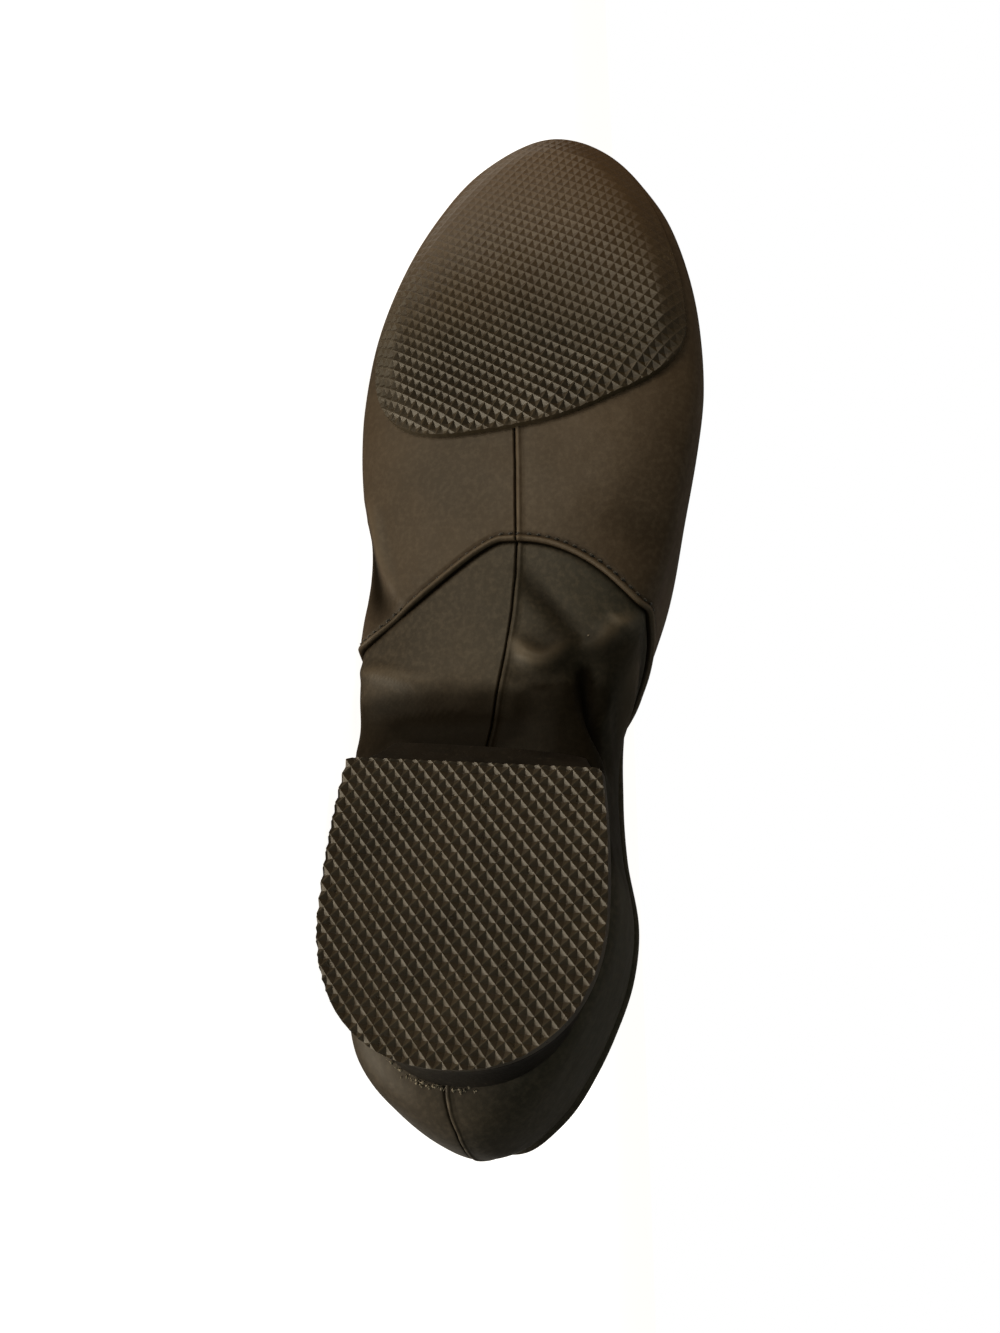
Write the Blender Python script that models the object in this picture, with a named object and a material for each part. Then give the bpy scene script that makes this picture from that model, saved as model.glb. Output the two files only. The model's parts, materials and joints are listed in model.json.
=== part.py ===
"""A right-foot split-sole jazz shoe of soft leather, lying on its outer side.

The shoe is worked out standing: x runs from the back of the heel to the toe, y towards the inner side of the
foot (the arch) and z up from the ground. At the end the whole shoe is laid on its outer side, where it rests by
itself.
"""
from math import acos, cos, pi, sin, sqrt
from typing import NamedTuple

import bmesh
import bpy
from mathutils import Matrix, Vector

# Driving dimensions, in metres. SOLE_PRESS is how far the ball of the foot has pressed the sole flat.
LENGTH = 0.256
BALL_WIDTH = 0.0833
INSTEP_HEIGHT = 0.062
BACK_HEIGHT = 0.058
TOE_SPRING = 0.0090
WALL = 0.0015
PANEL_STEP = 0.0008
GAP = 0.0003
SOLE_THICKNESS = 0.0025
SOLE_EDGE = 0.0012
SOLE_PRESS = 0.0002
HEEL_LIFT = 0.0030
HEEL_BLOCK = 0.0100
HEEL_WIDTH = 0.7023 * BALL_WIDTH
HEEL_LENGTH = 0.2305 * LENGTH
HEEL_BACK = 0.0605 * LENGTH
INSOLE_THICKNESS = 0.0015

# How far the upper's lower edge is turned in under the foot, at the seat and at the forefoot
LASTING_SEAT = 0.0100
LASTING_FOREFOOT = 0.0150

# Where the upper's underside runs: over the forefoot sole, and over the heel block
BALL_LEVEL = SOLE_THICKNESS + GAP
SEAT_LEVEL = HEEL_LIFT + GAP + HEEL_BLOCK + GAP - PANEL_STEP

# The seam across the arch: its foremost point, how far it sweeps back on each side and up to the collar
SEAM_APEX = 0.504 * LENGTH
SEAM_SWEEP_INNER = 0.055 * LENGTH
SEAM_SWEEP_OUTER = 0.079 * LENGTH
SEAM_TOP = 0.119 * LENGTH
SEAM_RAMP = 0.0008
# The share of the half girth over which the seam sweeps back on each side, how it bends there, and where it turns up
SEAM_TURN_INNER = 0.42
SEAM_TURN_OUTER = 0.36
SEAM_BEND_INNER = 0.9
SEAM_BEND_OUTER = 0.6
SEAM_RISE_FROM = 0.42
SEAM_RISE_OVER = 0.50
# The rings lean with the seam between these two stations: a share of SEAM_APEX and a share of LENGTH
LEAN_FROM = 0.20
LEAN_TO = 0.72
# The rings nearest to the seam's pair are left out within this share of a step
CLEAR_OF_SEAM = 0.35

# Weight of each material for its volume, kg per cubic metre, for the place of the centre of mass
DENSITY = {"upper": 780, "forefoot_sole": 1150, "heel_block": 500, "heel_lift": 1150, "insole": 300}

# The steepest slope over which a distance is measured square to the surface, and the narrowest half of a section
STEEPEST = 2.5
NARROWEST = 0.00001

# How many points draw each form, and where the rings of the flat pieces lie from middle to edge
RINGS_ALONG = 40
POINTS_AROUND = 40
SOLE_POINTS = 56
SOLE_RINGS = (0.22, 0.42, 0.58, 0.70, 0.79, 0.87, 0.94, 1.0)
HEEL_POINTS = 52
HEEL_RINGS = (0.45, 0.72, 0.88, 1.0)
ACROSS_BREAST = 10
FOREFOOT_WINDOW_POINTS = 24
SEAT_WINDOW_POINTS = 28
INSOLE_ROWS = 26
INSOLE_COLUMNS = 8
SHARP_ANGLE = 0.6


class Section(NamedTuple):
    """One cross-section of the outer form.

    at is a share of LENGTH. outer, inner and ridge are shares of BALL_WIDTH: the two edges, and where the top
    lies. heel and toe are shares of the heel's rise and of TOE_SPRING that lift the underside, and tuck is a
    share of BACK_HEIGHT that rounds it at the back. depth is a share of INSTEP_HEIGHT. broad_outer and
    broad_inner are the heights of the widest points as shares of the section's own depth. under_square and
    over_square are the exponents of the lower and upper curves, where 2 is an ellipse.
    """
    at: float
    outer: float
    inner: float
    ridge: float
    heel: float
    toe: float
    tuck: float
    depth: float
    broad_outer: float
    broad_inner: float
    under_square: float
    over_square: float


SECTIONS = [
    Section(0.0000, -0.054, -0.054, -0.054, 1.00, 0.00, 0.345, 0.000, 0.50, 0.50, 2.0, 2.0),
    Section(0.0051, -0.122, 0.007, -0.058, 1.00, 0.00, 0.210, 0.360, 0.40, 0.40, 2.1, 2.0),
    Section(0.0145, -0.178, 0.043, -0.067, 1.00, 0.00, 0.125, 0.670, 0.30, 0.30, 2.3, 2.1),
    Section(0.0293, -0.244, 0.091, -0.076, 1.00, 0.00, 0.062, 0.900, 0.27, 0.25, 2.6, 2.1),
    Section(0.0500, -0.316, 0.144, -0.065, 1.00, 0.00, 0.022, 1.050, 0.25, 0.21, 2.9, 2.2),
    Section(0.0750, -0.370, 0.196, -0.060, 1.00, 0.00, 0.004, 1.110, 0.25, 0.18, 3.1, 2.2),
    Section(0.1102, -0.401, 0.252, -0.055, 1.00, 0.00, 0.000, 1.130, 0.25, 0.17, 3.3, 2.2),
    Section(0.1539, -0.420, 0.300, -0.053, 1.00, 0.00, 0.000, 1.130, 0.25, 0.17, 3.3, 2.2),
    Section(0.2012, -0.432, 0.312, -0.050, 1.00, 0.00, 0.000, 1.110, 0.25, 0.17, 3.3, 2.2),
    Section(0.2598, -0.448, 0.274, -0.045, 1.00, 0.00, 0.000, 1.075, 0.25, 0.18, 3.1, 2.2),
    Section(0.3184, -0.466, 0.258, -0.030, 0.97, 0.00, 0.000, 1.040, 0.24, 0.19, 2.8, 2.2),
    Section(0.3750, -0.473, 0.270, -0.010, 0.89, 0.00, 0.000, 1.010, 0.23, 0.20, 2.6, 2.1),
    Section(0.4277, -0.471, 0.336, 0.010, 0.76, 0.00, 0.000, 0.985, 0.22, 0.20, 2.5, 2.0),
    Section(0.4824, -0.463, 0.400, 0.025, 0.56, 0.00, 0.000, 0.945, 0.21, 0.20, 2.5, 2.0),
    Section(0.5527, -0.474, 0.454, 0.035, 0.27, 0.00, 0.000, 0.850, 0.22, 0.21, 2.7, 1.9),
    Section(0.6113, -0.490, 0.489, 0.040, 0.07, 0.00, 0.000, 0.755, 0.24, 0.24, 3.0, 1.9),
    Section(0.6621, -0.496, 0.504, 0.042, 0.00, 0.00, 0.000, 0.680, 0.27, 0.27, 3.3, 1.9),
    Section(0.7305, -0.486, 0.492, 0.040, 0.00, 0.00, 0.000, 0.578, 0.31, 0.31, 3.3, 2.0),
    Section(0.7891, -0.456, 0.460, 0.034, 0.00, 0.05, 0.000, 0.498, 0.35, 0.35, 3.2, 2.0),
    Section(0.8516, -0.402, 0.402, 0.022, 0.00, 0.20, 0.000, 0.418, 0.38, 0.38, 3.0, 2.1),
    Section(0.9062, -0.331, 0.319, -0.006, 0.00, 0.43, 0.000, 0.345, 0.40, 0.40, 2.8, 2.2),
    Section(0.9473, -0.255, 0.238, -0.008, 0.00, 0.67, 0.000, 0.278, 0.41, 0.41, 2.6, 2.2),
    Section(0.9746, -0.170, 0.158, -0.006, 0.00, 0.90, 0.000, 0.213, 0.43, 0.43, 2.4, 2.2),
    Section(0.9910, -0.096, 0.086, -0.005, 0.00, 1.15, 0.000, 0.137, 0.46, 0.46, 2.2, 2.1),
    Section(1.0000, -0.004, -0.004, -0.004, 0.00, 1.58, 0.000, 0.000, 0.50, 0.50, 2.0, 2.0),
]

# The collar's edge seen from the side, back to front: shares of LENGTH and of BACK_HEIGHT
TOPLINE = [
    (-0.060, 1.010), (0.000, 1.005), (0.060, 0.975), (0.120, 0.920), (0.190, 0.870), (0.260, 0.862),
    (0.320, 0.900), (0.370, 0.985), (0.410, 1.100), (0.438, 1.240), (0.452, 1.400), (0.456, 1.700),
]

# The forefoot sole's outline, round from the back: shares of LENGTH and of BALL_WIDTH
SOLE_OUTLINE = [
    (0.607, -0.150), (0.614, -0.285), (0.633, -0.372), (0.664, -0.424), (0.706, -0.445), (0.748, -0.440),
    (0.795, -0.402), (0.852, -0.334), (0.905, -0.252), (0.949, -0.148), (0.973, -0.008), (0.965, 0.122),
    (0.930, 0.242), (0.862, 0.356), (0.787, 0.434), (0.727, 0.466), (0.688, 0.462), (0.657, 0.404),
    (0.634, 0.285), (0.614, 0.110),
]
SOLE_MIDDLE = (0.768, 0.030)
SOLE_THINS_FROM = 0.86

# The heel's outline at the ground and under the seat: shares of HEEL_LENGTH and HEEL_WIDTH
HEEL_MIDDLE = -0.041 * HEEL_WIDTH
HEEL_BROAD_AT = 0.52
HEEL_FRONT_WIDTH = 0.925
HEEL_ROUND = 2.25
BREAST_SKEW = 0.030
SEAT_BACK = -0.035
SEAT_FRONT = 1.135
SEAT_WIDTH = 0.870
SEAT_FRONT_WIDTH = 0.740
SEAT_SHIFT = -0.025

# The insole: its ends as shares of LENGTH, the share of the form's width that it fills, how far its ends are
# rounded and over what share of LENGTH, and how closely its rows lie at the ends
INSOLE_BACK = 0.056
INSOLE_FRONT = 0.950
INSOLE_FILL = 0.74
INSOLE_ROUND = 0.72
INSOLE_ENDS = 0.09
INSOLE_SPREAD = 0.06


def ease(t):
    """Run smoothly from 0 to 1."""
    t = min(max(t, 0.0), 1.0)
    return t * t * (3 - 2 * t)


def turn_of(at):
    """Give a station's angle on a half circle over the shoe's length, to spread the stations at both ends."""
    return acos(1 - 2 * min(max(at, 0.0), 1.0))


def smooth(knots, rows, t):
    """Read every column of the rows at t with one cubic curve through the knots."""
    i = 0
    while i < len(knots) - 2 and t > knots[i + 1]:
        i += 1
    span = knots[i + 1] - knots[i]
    u = (t - knots[i]) / span

    def slope(k, c):
        low = max(k - 1, 0)
        high = min(k + 1, len(knots) - 1)
        return (rows[high][c] - rows[low][c]) / (knots[high] - knots[low])

    values = []
    for c in range(len(rows[0])):
        a, b = rows[i][c], rows[i + 1][c]
        ma, mb = slope(i, c) * span, slope(i + 1, c) * span
        values.append(
            a * (1 + 2 * u) * (1 - u) ** 2 + ma * u * (1 - u) ** 2
            + b * u * u * (3 - 2 * u) - mb * u * u * (1 - u)
        )
    return values


SECTION_KNOTS = [turn_of(s.at) for s in SECTIONS]


class Form(NamedTuple):
    """One cross-section in metres."""
    outer: float
    inner: float
    keel: float
    ridge: float
    under: float
    over: float
    broad_outer: float
    broad_inner: float
    under_square: float
    over_square: float


def form_at(x):
    """Work out the outer form's cross-section at x."""
    s = Section(*smooth(SECTION_KNOTS, SECTIONS, turn_of(x / LENGTH)))
    under = BALL_LEVEL + s.heel * (SEAT_LEVEL - BALL_LEVEL) + s.toe * TOE_SPRING + s.tuck * BACK_HEIGHT
    depth = max(s.depth, 0.0) * INSTEP_HEIGHT
    outer = s.outer * BALL_WIDTH
    inner = s.inner * BALL_WIDTH
    return Form(
        outer, inner, (outer + inner) / 2, s.ridge * BALL_WIDTH, under, under + depth,
        under + s.broad_outer * depth, under + s.broad_inner * depth, s.under_square, s.over_square,
    )


def underside(x, y):
    """Give the height of the form's lower side over a point of the ground."""
    f = form_at(x)
    edge, broad = (f.inner, f.broad_inner) if y > f.keel else (f.outer, f.broad_outer)
    t = min(abs(y - f.keel) / max(abs(edge - f.keel), NARROWEST), 1.0)
    return broad - (broad - f.under) * (1 - t ** f.under_square) ** (1 / f.under_square)


def off_skin(x, y, distance):
    """Give the height of a point at a distance, square to the surface, inside the form's lower side."""
    step = 0.0005
    rise_x = (underside(x + step, y) - underside(x - step, y)) / (2 * step)
    rise_y = (underside(x, y + step) - underside(x, y - step)) / (2 * step)
    slope = min(sqrt(rise_x ** 2 + rise_y ** 2), STEEPEST)
    return underside(x, y) + distance * sqrt(1 + slope ** 2)


def sweep(girth, on_inner):
    """Give how far back the cross seam lies, its girth from 0 under the foot to 1 at the top of the section."""
    side, turn, bend = (
        (SEAM_SWEEP_INNER, SEAM_TURN_INNER, SEAM_BEND_INNER) if on_inner
        else (SEAM_SWEEP_OUTER, SEAM_TURN_OUTER, SEAM_BEND_OUTER)
    )
    up = ease((girth - SEAM_RISE_FROM) / SEAM_RISE_OVER)
    return side * ease((girth / turn) ** bend) + (SEAM_TOP - side) * up


def seam_pull(base):
    """Give the share of the seam's sweep that a ring follows: all at the seam, none at ball and heel."""
    if base < SEAM_APEX:
        return ease((base / SEAM_APEX - LEAN_FROM) / (1 - LEAN_FROM))
    return ease((LEAN_TO * LENGTH - base) / (LEAN_TO * LENGTH - SEAM_APEX))


def ring_bases():
    """List where the rings cross the keel, with a close pair at the cross seam."""
    even = [LENGTH * (1 - cos(pi * k / RINGS_ALONG)) / 2 for k in range(1, RINGS_ALONG)]
    clear = CLEAR_OF_SEAM * LENGTH * pi / 2 / RINGS_ALONG
    bases = [b for b in even if abs(b - SEAM_APEX) > clear]
    return sorted(bases + [SEAM_APEX - SEAM_RAMP / 2, SEAM_APEX + SEAM_RAMP / 2])


def skin_point(base, share):
    """Give a point of one ring of the outer form, its share running round from the keel over the inner side."""
    girth = 2 * share if share <= 0.5 else 2 * (1 - share)
    on_inner = share <= 0.5
    x = base - sweep(girth, on_inner) * seam_pull(base)
    f = form_at(x)
    edge, broad = (f.inner, f.broad_inner) if on_inner else (f.outer, f.broad_outer)
    quarter = pi * girth
    if quarter <= pi / 2:
        y = f.keel + (edge - f.keel) * sin(quarter) ** (2 / f.under_square)
        z = broad - (broad - f.under) * max(cos(quarter), 0.0) ** (2 / f.under_square)
    else:
        rest = pi - quarter
        y = f.ridge + (edge - f.ridge) * sin(rest) ** (2 / f.over_square)
        z = broad + (f.over - broad) * max(cos(rest), 0.0) ** (2 / f.over_square)
    return Vector((x, y, z))


def new_object(name, bm, collection, material=None):
    """Put a mesh in the scene as an object."""
    bmesh.ops.recalc_face_normals(bm, faces=bm.faces)
    mesh = bpy.data.meshes.new(name)
    bm.to_mesh(mesh)
    bm.free()
    mesh.shade_smooth()
    mesh.set_sharp_from_angle(angle=SHARP_ANGLE)
    obj = bpy.data.objects.new(name, mesh)
    collection.objects.link(obj)
    if material:
        mesh.materials.append(material)
    return obj


def make_material(name, colour, roughness):
    """Make a plain finish."""
    material = bpy.data.materials.new(name)
    material.use_nodes = True
    shader = material.node_tree.nodes["Principled BSDF"]
    shader.inputs["Base Color"].default_value = (*colour, 1.0)
    shader.inputs["Roughness"].default_value = roughness
    shader.inputs["Metallic"].default_value = 0.0
    return material


def skin_mesh():
    """Loft the closed outer form and say which rings each vertex belongs to."""
    bm = bmesh.new()
    bases = ring_bases()
    rings = []
    for base in bases:
        rings.append([bm.verts.new(skin_point(base, k / POINTS_AROUND)) for k in range(POINTS_AROUND)])
    for near, far in zip(rings, rings[1:]):
        for k in range(POINTS_AROUND):
            n = (k + 1) % POINTS_AROUND
            bm.faces.new((near[k], near[n], far[n], far[k]))
    for end, ring in ((0.0, rings[0]), (LENGTH, rings[-1])):
        f = form_at(end)
        tip = bm.verts.new((end, f.keel, f.under))
        for k in range(POINTS_AROUND):
            bm.faces.new((ring[k], ring[(k + 1) % POINTS_AROUND], tip))
    bmesh.ops.recalc_face_normals(bm, faces=bm.faces)
    bm.normal_update()
    bm.verts.index_update()
    behind = {v.index for base, ring in zip(bases, rings) if base < SEAM_APEX for v in ring}
    behind.add(len(bm.verts) - 2)
    return bm, behind


def sunk(bm, depth_of):
    """Copy a closed mesh with every vertex moved inwards along its normal."""
    copy = bm.copy()
    copy.normal_update()
    copy.verts.ensure_lookup_table()
    moves = [v.normal * -depth_of(v.index) for v in copy.verts]
    for v, move in zip(copy.verts, moves):
        v.co += move
    return copy


def closed_spline(points, count):
    """Sample a closed smooth curve through the points at even steps of its parameter."""
    n = len(points)
    samples = []
    for k in range(count):
        t = k * n / count
        i = int(t)
        u = t - i
        p0, p1, p2, p3 = (Vector(points[(i + d) % n]) for d in (-1, 0, 1, 2))
        samples.append(0.5 * (
            2 * p1 + (p2 - p0) * u + (2 * p0 - 5 * p1 + 4 * p2 - p3) * u * u
            + (3 * p1 - p0 - 3 * p2 + p3) * u ** 3
        ))
    return samples


def pad(low_outline, high_outline, low_middle, high_middle, low_height, high_height, shares):
    """Build a flat piece between two outlines, each face made of rings from its middle to its edge."""
    bm = bmesh.new()
    count = len(low_outline)

    def face_rings(outline, middle, height):
        tip = bm.verts.new((*middle, height(*middle, 0.0)))
        rings = []
        for share in shares:
            ring = []
            for p in outline:
                q = middle.lerp(p, share)
                ring.append(bm.verts.new((q.x, q.y, height(q.x, q.y, share))))
            rings.append(ring)
        for k in range(count):
            bm.faces.new((tip, rings[0][k], rings[0][(k + 1) % count]))
        for a, b in zip(rings, rings[1:]):
            join_rings(bm, a, b)
        return rings[-1]

    low_edge = face_rings(low_outline, low_middle, low_height)
    high_edge = face_rings(high_outline, high_middle, high_height)
    join_rings(bm, low_edge, high_edge)
    return bm


def join_rings(bm, a, b):
    """Fill the band between two rings of vertices."""
    count = len(a)
    for k in range(count):
        n = (k + 1) % count
        bm.faces.new((a[k], a[n], b[n], b[k]))


def prism(outline, low, high):
    """Extrude a ground outline upwards."""
    bm = bmesh.new()
    bottom = [bm.verts.new((p.x, p.y, low)) for p in outline]
    top = [bm.verts.new((p.x, p.y, high)) for p in outline]
    bm.faces.new(bottom)
    bm.faces.new(top)
    join_rings(bm, bottom, top)
    return bm


def inset(outline, middle, margin):
    """Draw an outline in towards its middle by a margin."""
    return [middle + (p - middle) * (1 - margin / (p - middle).length) for p in outline]


def heel_outline(back, front, middle, width, front_width, count):
    """Give the heel's outline: a round back, sides that close in a little, and a straight front set askew."""
    broad_at = HEEL_BACK + HEEL_BROAD_AT * HEEL_LENGTH
    half = width / 2
    front_half = front_width / 2
    around_back = count // 2
    along_side = (count - around_back - ACROSS_BREAST) // 2
    points = []
    for k in range(around_back + 1):
        turn = pi * k / around_back
        reach = broad_at - back
        points.append(Vector((
            broad_at - reach * abs(sin(turn)) ** (2 / HEEL_ROUND),
            middle - half * abs(cos(turn)) ** (2 / HEEL_ROUND) * (1 if cos(turn) >= 0 else -1),
        )))
    skew = BREAST_SKEW * HEEL_LENGTH

    def side_point(t, hand):
        y = half - (half - front_half) * t * t
        return Vector((broad_at + (front - hand * skew - broad_at) * t, middle + hand * y))

    points += [side_point(k / along_side, 1) for k in range(1, along_side + 1)]
    for k in range(1, ACROSS_BREAST):
        across = cos(pi * k / ACROSS_BREAST)
        points.append(Vector((front - skew * across, middle + front_half * across)))
    points += [side_point(k / along_side, -1) for k in range(along_side, 0, -1)]
    return points


def cutter(name, bm, collection):
    """Put a cutting form in the scene, left out of renders."""
    obj = new_object(name, bm, collection)
    obj.hide_render = True
    obj.display_type = "WIRE"
    return obj


def cut(obj, tool):
    """Take one closed form out of another."""
    boolean = obj.modifiers.new("cut " + tool.name, "BOOLEAN")
    boolean.operation = "DIFFERENCE"
    boolean.solver = "EXACT"
    boolean.object = tool


def sole_outline(count):
    """Give the forefoot sole's outline in metres."""
    return closed_spline([(a * LENGTH, b * BALL_WIDTH) for a, b in SOLE_OUTLINE], count)


def make_upper(parts, cutters, leather):
    """Make the hollow upper: its step at the cross seam, the collar and the two windows under the foot."""
    bm, behind = skin_mesh()
    hollow = sunk(bm, lambda index: PANEL_STEP + WALL)
    outside = sunk(bm, lambda index: PANEL_STEP if index in behind else 0.0)
    bm.free()
    upper = new_object("upper", outside, parts, leather)
    cut(upper, cutter("foot_space", hollow, cutters))

    top = 2.0 * BACK_HEIGHT
    line = open_spline([(a * LENGTH, b * BACK_HEIGHT) for a, b in TOPLINE], 4)
    side = line + [Vector((line[-1].x, top)), Vector((line[0].x, top))]
    collar = bmesh.new()
    left = [collar.verts.new((p.x, -BALL_WIDTH, p.y)) for p in side]
    right = [collar.verts.new((p.x, BALL_WIDTH, p.y)) for p in side]
    collar.faces.new(left)
    collar.faces.new(right)
    join_rings(collar, left, right)
    cut(upper, cutter("collar_opening", collar, cutters))

    middle = Vector((SOLE_MIDDLE[0] * LENGTH, SOLE_MIDDLE[1] * BALL_WIDTH))
    window = inset(sole_outline(FOREFOOT_WINDOW_POINTS), middle, LASTING_FOREFOOT)
    reach = BALL_LEVEL + WALL + PANEL_STEP + TOE_SPRING
    cut(upper, cutter("forefoot_window", prism(window, -BALL_LEVEL, reach), cutters))

    seat_middle = Vector((HEEL_BACK + HEEL_LENGTH / 2, HEEL_MIDDLE))
    window = inset(seat_outline(SEAT_WINDOW_POINTS), seat_middle, LASTING_SEAT)
    reach = SEAT_LEVEL + PANEL_STEP + 2 * WALL
    cut(upper, cutter("seat_window", prism(window, 0.0, reach), cutters))
    return upper


def open_spline(points, steps):
    """Sample a smooth curve through the points, with some steps from each to the next."""
    knots = list(range(len(points)))
    count = (len(points) - 1) * steps
    return [Vector(smooth(knots, points, k / steps)) for k in range(count + 1)]


def seat_outline(count):
    """Give the outline of the heel block's upper face."""
    back = HEEL_BACK + SEAT_BACK * HEEL_LENGTH
    front = HEEL_BACK + SEAT_FRONT * HEEL_LENGTH
    middle = HEEL_MIDDLE + SEAT_SHIFT * HEEL_WIDTH
    return heel_outline(back, front, middle, SEAT_WIDTH * HEEL_WIDTH, SEAT_FRONT_WIDTH * HEEL_WIDTH, count)


def ground_outline(count):
    """Give the outline of the heel lift."""
    front = HEEL_BACK + HEEL_LENGTH
    return heel_outline(HEEL_BACK, front, HEEL_MIDDLE, HEEL_WIDTH, HEEL_FRONT_WIDTH * HEEL_WIDTH, count)


def make_forefoot_sole(parts, rubber):
    """Make the thin sole under the forefoot: flat on the ground at the ball, and thinner towards its edge."""
    outline = sole_outline(SOLE_POINTS)
    middle = Vector((SOLE_MIDDLE[0] * LENGTH, SOLE_MIDDLE[1] * BALL_WIDTH))

    def top(x, y, share):
        return off_skin(x, y, -GAP)

    def bottom(x, y, share):
        thinned = ease((share - SOLE_THINS_FROM) / (1 - SOLE_THINS_FROM))
        thickness = SOLE_THICKNESS - (SOLE_THICKNESS - SOLE_EDGE) * thinned
        return max(top(x, y, share) - thickness - SOLE_PRESS, 0.0)

    sole = pad(outline, outline, middle, middle, bottom, top, SOLE_RINGS)
    return new_object("forefoot_sole", sole, parts, rubber)


def make_heel(parts, foam, rubber):
    """Make the heel block, with its breast leaning forward, and the treaded lift under it."""
    low_middle = Vector((HEEL_BACK + HEEL_LENGTH / 2, HEEL_MIDDLE))
    seam = HEEL_LIFT + GAP

    def seat(x, y, share):
        return off_skin(x, y, PANEL_STEP - GAP)

    block = pad(
        ground_outline(HEEL_POINTS), seat_outline(HEEL_POINTS), low_middle, low_middle,
        lambda x, y, share: seam, seat, HEEL_RINGS,
    )
    new_object("heel_block", block, parts, foam)
    lift = prism(ground_outline(HEEL_POINTS), 0.0, HEEL_LIFT)
    new_object("heel_lift", lift, parts, rubber)


def make_insole(parts, cloth):
    """Make the thin sock that lines the inside from heel to toe."""
    back = INSOLE_BACK * LENGTH
    front = INSOLE_FRONT * LENGTH
    ends = INSOLE_ENDS * LENGTH
    half_length = (front - back) / 2
    bm = bmesh.new()
    sheets = []
    for lift in (0.0, INSOLE_THICKNESS):
        sheet = []
        for i in range(INSOLE_ROWS + 1):
            turn = pi * (INSOLE_SPREAD + (1 - 2 * INSOLE_SPREAD) * i / INSOLE_ROWS)
            along = -cos(turn) / cos(pi * INSOLE_SPREAD)
            x = back + half_length * (1 + along)
            f = form_at(x)
            end = max(min((x - back) / ends, (front - x) / ends, 1.0), 0.0)
            fill = INSOLE_FILL * sqrt(1 - INSOLE_ROUND * (1 - end) ** 2)
            low = f.keel + (f.outer - f.keel) * fill
            high = f.keel + (f.inner - f.keel) * fill
            line = []
            for j in range(INSOLE_COLUMNS + 1):
                y = low + (high - low) * j / INSOLE_COLUMNS
                z = off_skin(x, y, PANEL_STEP + WALL + GAP) + lift
                line.append(bm.verts.new((x, y, z)))
            sheet.append(line)
        sheets.append(sheet)
    for sheet in sheets:
        for near, far in zip(sheet, sheet[1:]):
            for j in range(INSOLE_COLUMNS):
                bm.faces.new((near[j], near[j + 1], far[j + 1], far[j]))
    rims = []
    for sheet in sheets:
        rim = sheet[0] + [line[-1] for line in sheet[1:]]
        rim += sheet[-1][-2::-1] + [line[0] for line in sheet[-2:0:-1]]
        rims.append(rim)
    join_rings(bm, rims[0], rims[1])
    new_object("insole", bm, parts, cloth)


def body_of(obj):
    """Read an object's finished points, volume and centre of volume."""
    mesh = obj.evaluated_get(bpy.context.evaluated_depsgraph_get()).to_mesh()
    mesh.calc_loop_triangles()
    volume = 0.0
    moment = Vector()
    for triangle in mesh.loop_triangles:
        a, b, c = (mesh.vertices[i].co for i in triangle.vertices)
        part = a.dot(b.cross(c)) / 6
        volume += part
        moment += part * (a + b + c) / 4
    return [v.co.copy() for v in mesh.vertices], volume, moment / volume


def resting_matrix(objects):
    """Find how the shoe lies on its outer side: on a face of its hull that has its centre of mass over it."""
    points = []
    mass = 0.0
    moment = Vector()
    for obj in objects:
        own, volume, centre = body_of(obj)
        points += own
        mass += DENSITY[obj.name] * volume
        moment += DENSITY[obj.name] * volume * centre
    centre = moment / mass
    hull = bmesh.new()
    for p in points:
        hull.verts.new(p)
    made = bmesh.ops.convex_hull(hull, input=hull.verts, use_existing_faces=False)
    stable = []
    for face in [g for g in made["geom"] if isinstance(g, bmesh.types.BMFace)]:
        face.normal_update()
        normal = face.normal.copy()
        height = normal.dot(face.verts[0].co - centre)
        foot = centre + normal * height
        corners = [v.co for v in face.verts]
        pairs = zip(corners, corners[1:] + corners[:1])
        if all((q - p).cross(foot - p).dot(normal) > 0 for p, q in pairs):
            stable.append(normal if height > 0 else -normal)
    hull.free()
    down = min(stable, key=lambda normal: normal.y)
    up = -down
    toe = Vector((1, 0, 0)) - up * up.x
    toe.normalize()
    turn = Matrix((-toe, toe.cross(up), up)).to_4x4()
    laid = [turn @ p for p in points]
    low = Vector([min(p[i] for p in laid) for i in range(3)])
    high = Vector([max(p[i] for p in laid) for i in range(3)])
    place = Vector((-(low.x + high.x) / 2, -(low.y + high.y) / 2, -low.z))
    return Matrix.Translation(place) @ turn


def main():
    for obj in list(bpy.data.objects):
        bpy.data.objects.remove(obj, do_unlink=True)
    parts = bpy.data.collections.new("jazz_shoe")
    cutters = bpy.data.collections.new("cutters")
    for collection in (parts, cutters):
        bpy.context.scene.collection.children.link(collection)
    leather = make_material("black leather", (0.020, 0.016, 0.012), 0.42)
    rubber = make_material("black rubber", (0.022, 0.018, 0.014), 0.60)
    foam = make_material("black heel rubber", (0.014, 0.013, 0.011), 0.65)
    cloth = make_material("insole cloth", (0.050, 0.045, 0.040), 0.90)
    make_upper(parts, cutters, leather)
    make_forefoot_sole(parts, rubber)
    make_heel(parts, foam, rubber)
    make_insole(parts, cloth)

    root = bpy.data.objects.new("shoe_lying", None)
    parts.objects.link(root)
    bodies = [obj for obj in parts.objects if obj.type == "MESH"]
    root.matrix_world = resting_matrix(bodies)
    for obj in bodies + list(cutters.objects):
        obj.parent = root


main()
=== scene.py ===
"""The look of the split-sole jazz shoe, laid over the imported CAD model.

Every shape is worked out standing, in metres, as in the CAD source: x runs from the back of the heel to the
toe, y towards the inner side of the foot and z up from the ground. The mounts in the record say how the shoe
lies.
"""
import json
from math import atan2, cos, pi, sin

import bpy
import numpy as np
from mathutils import Matrix, Vector


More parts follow.
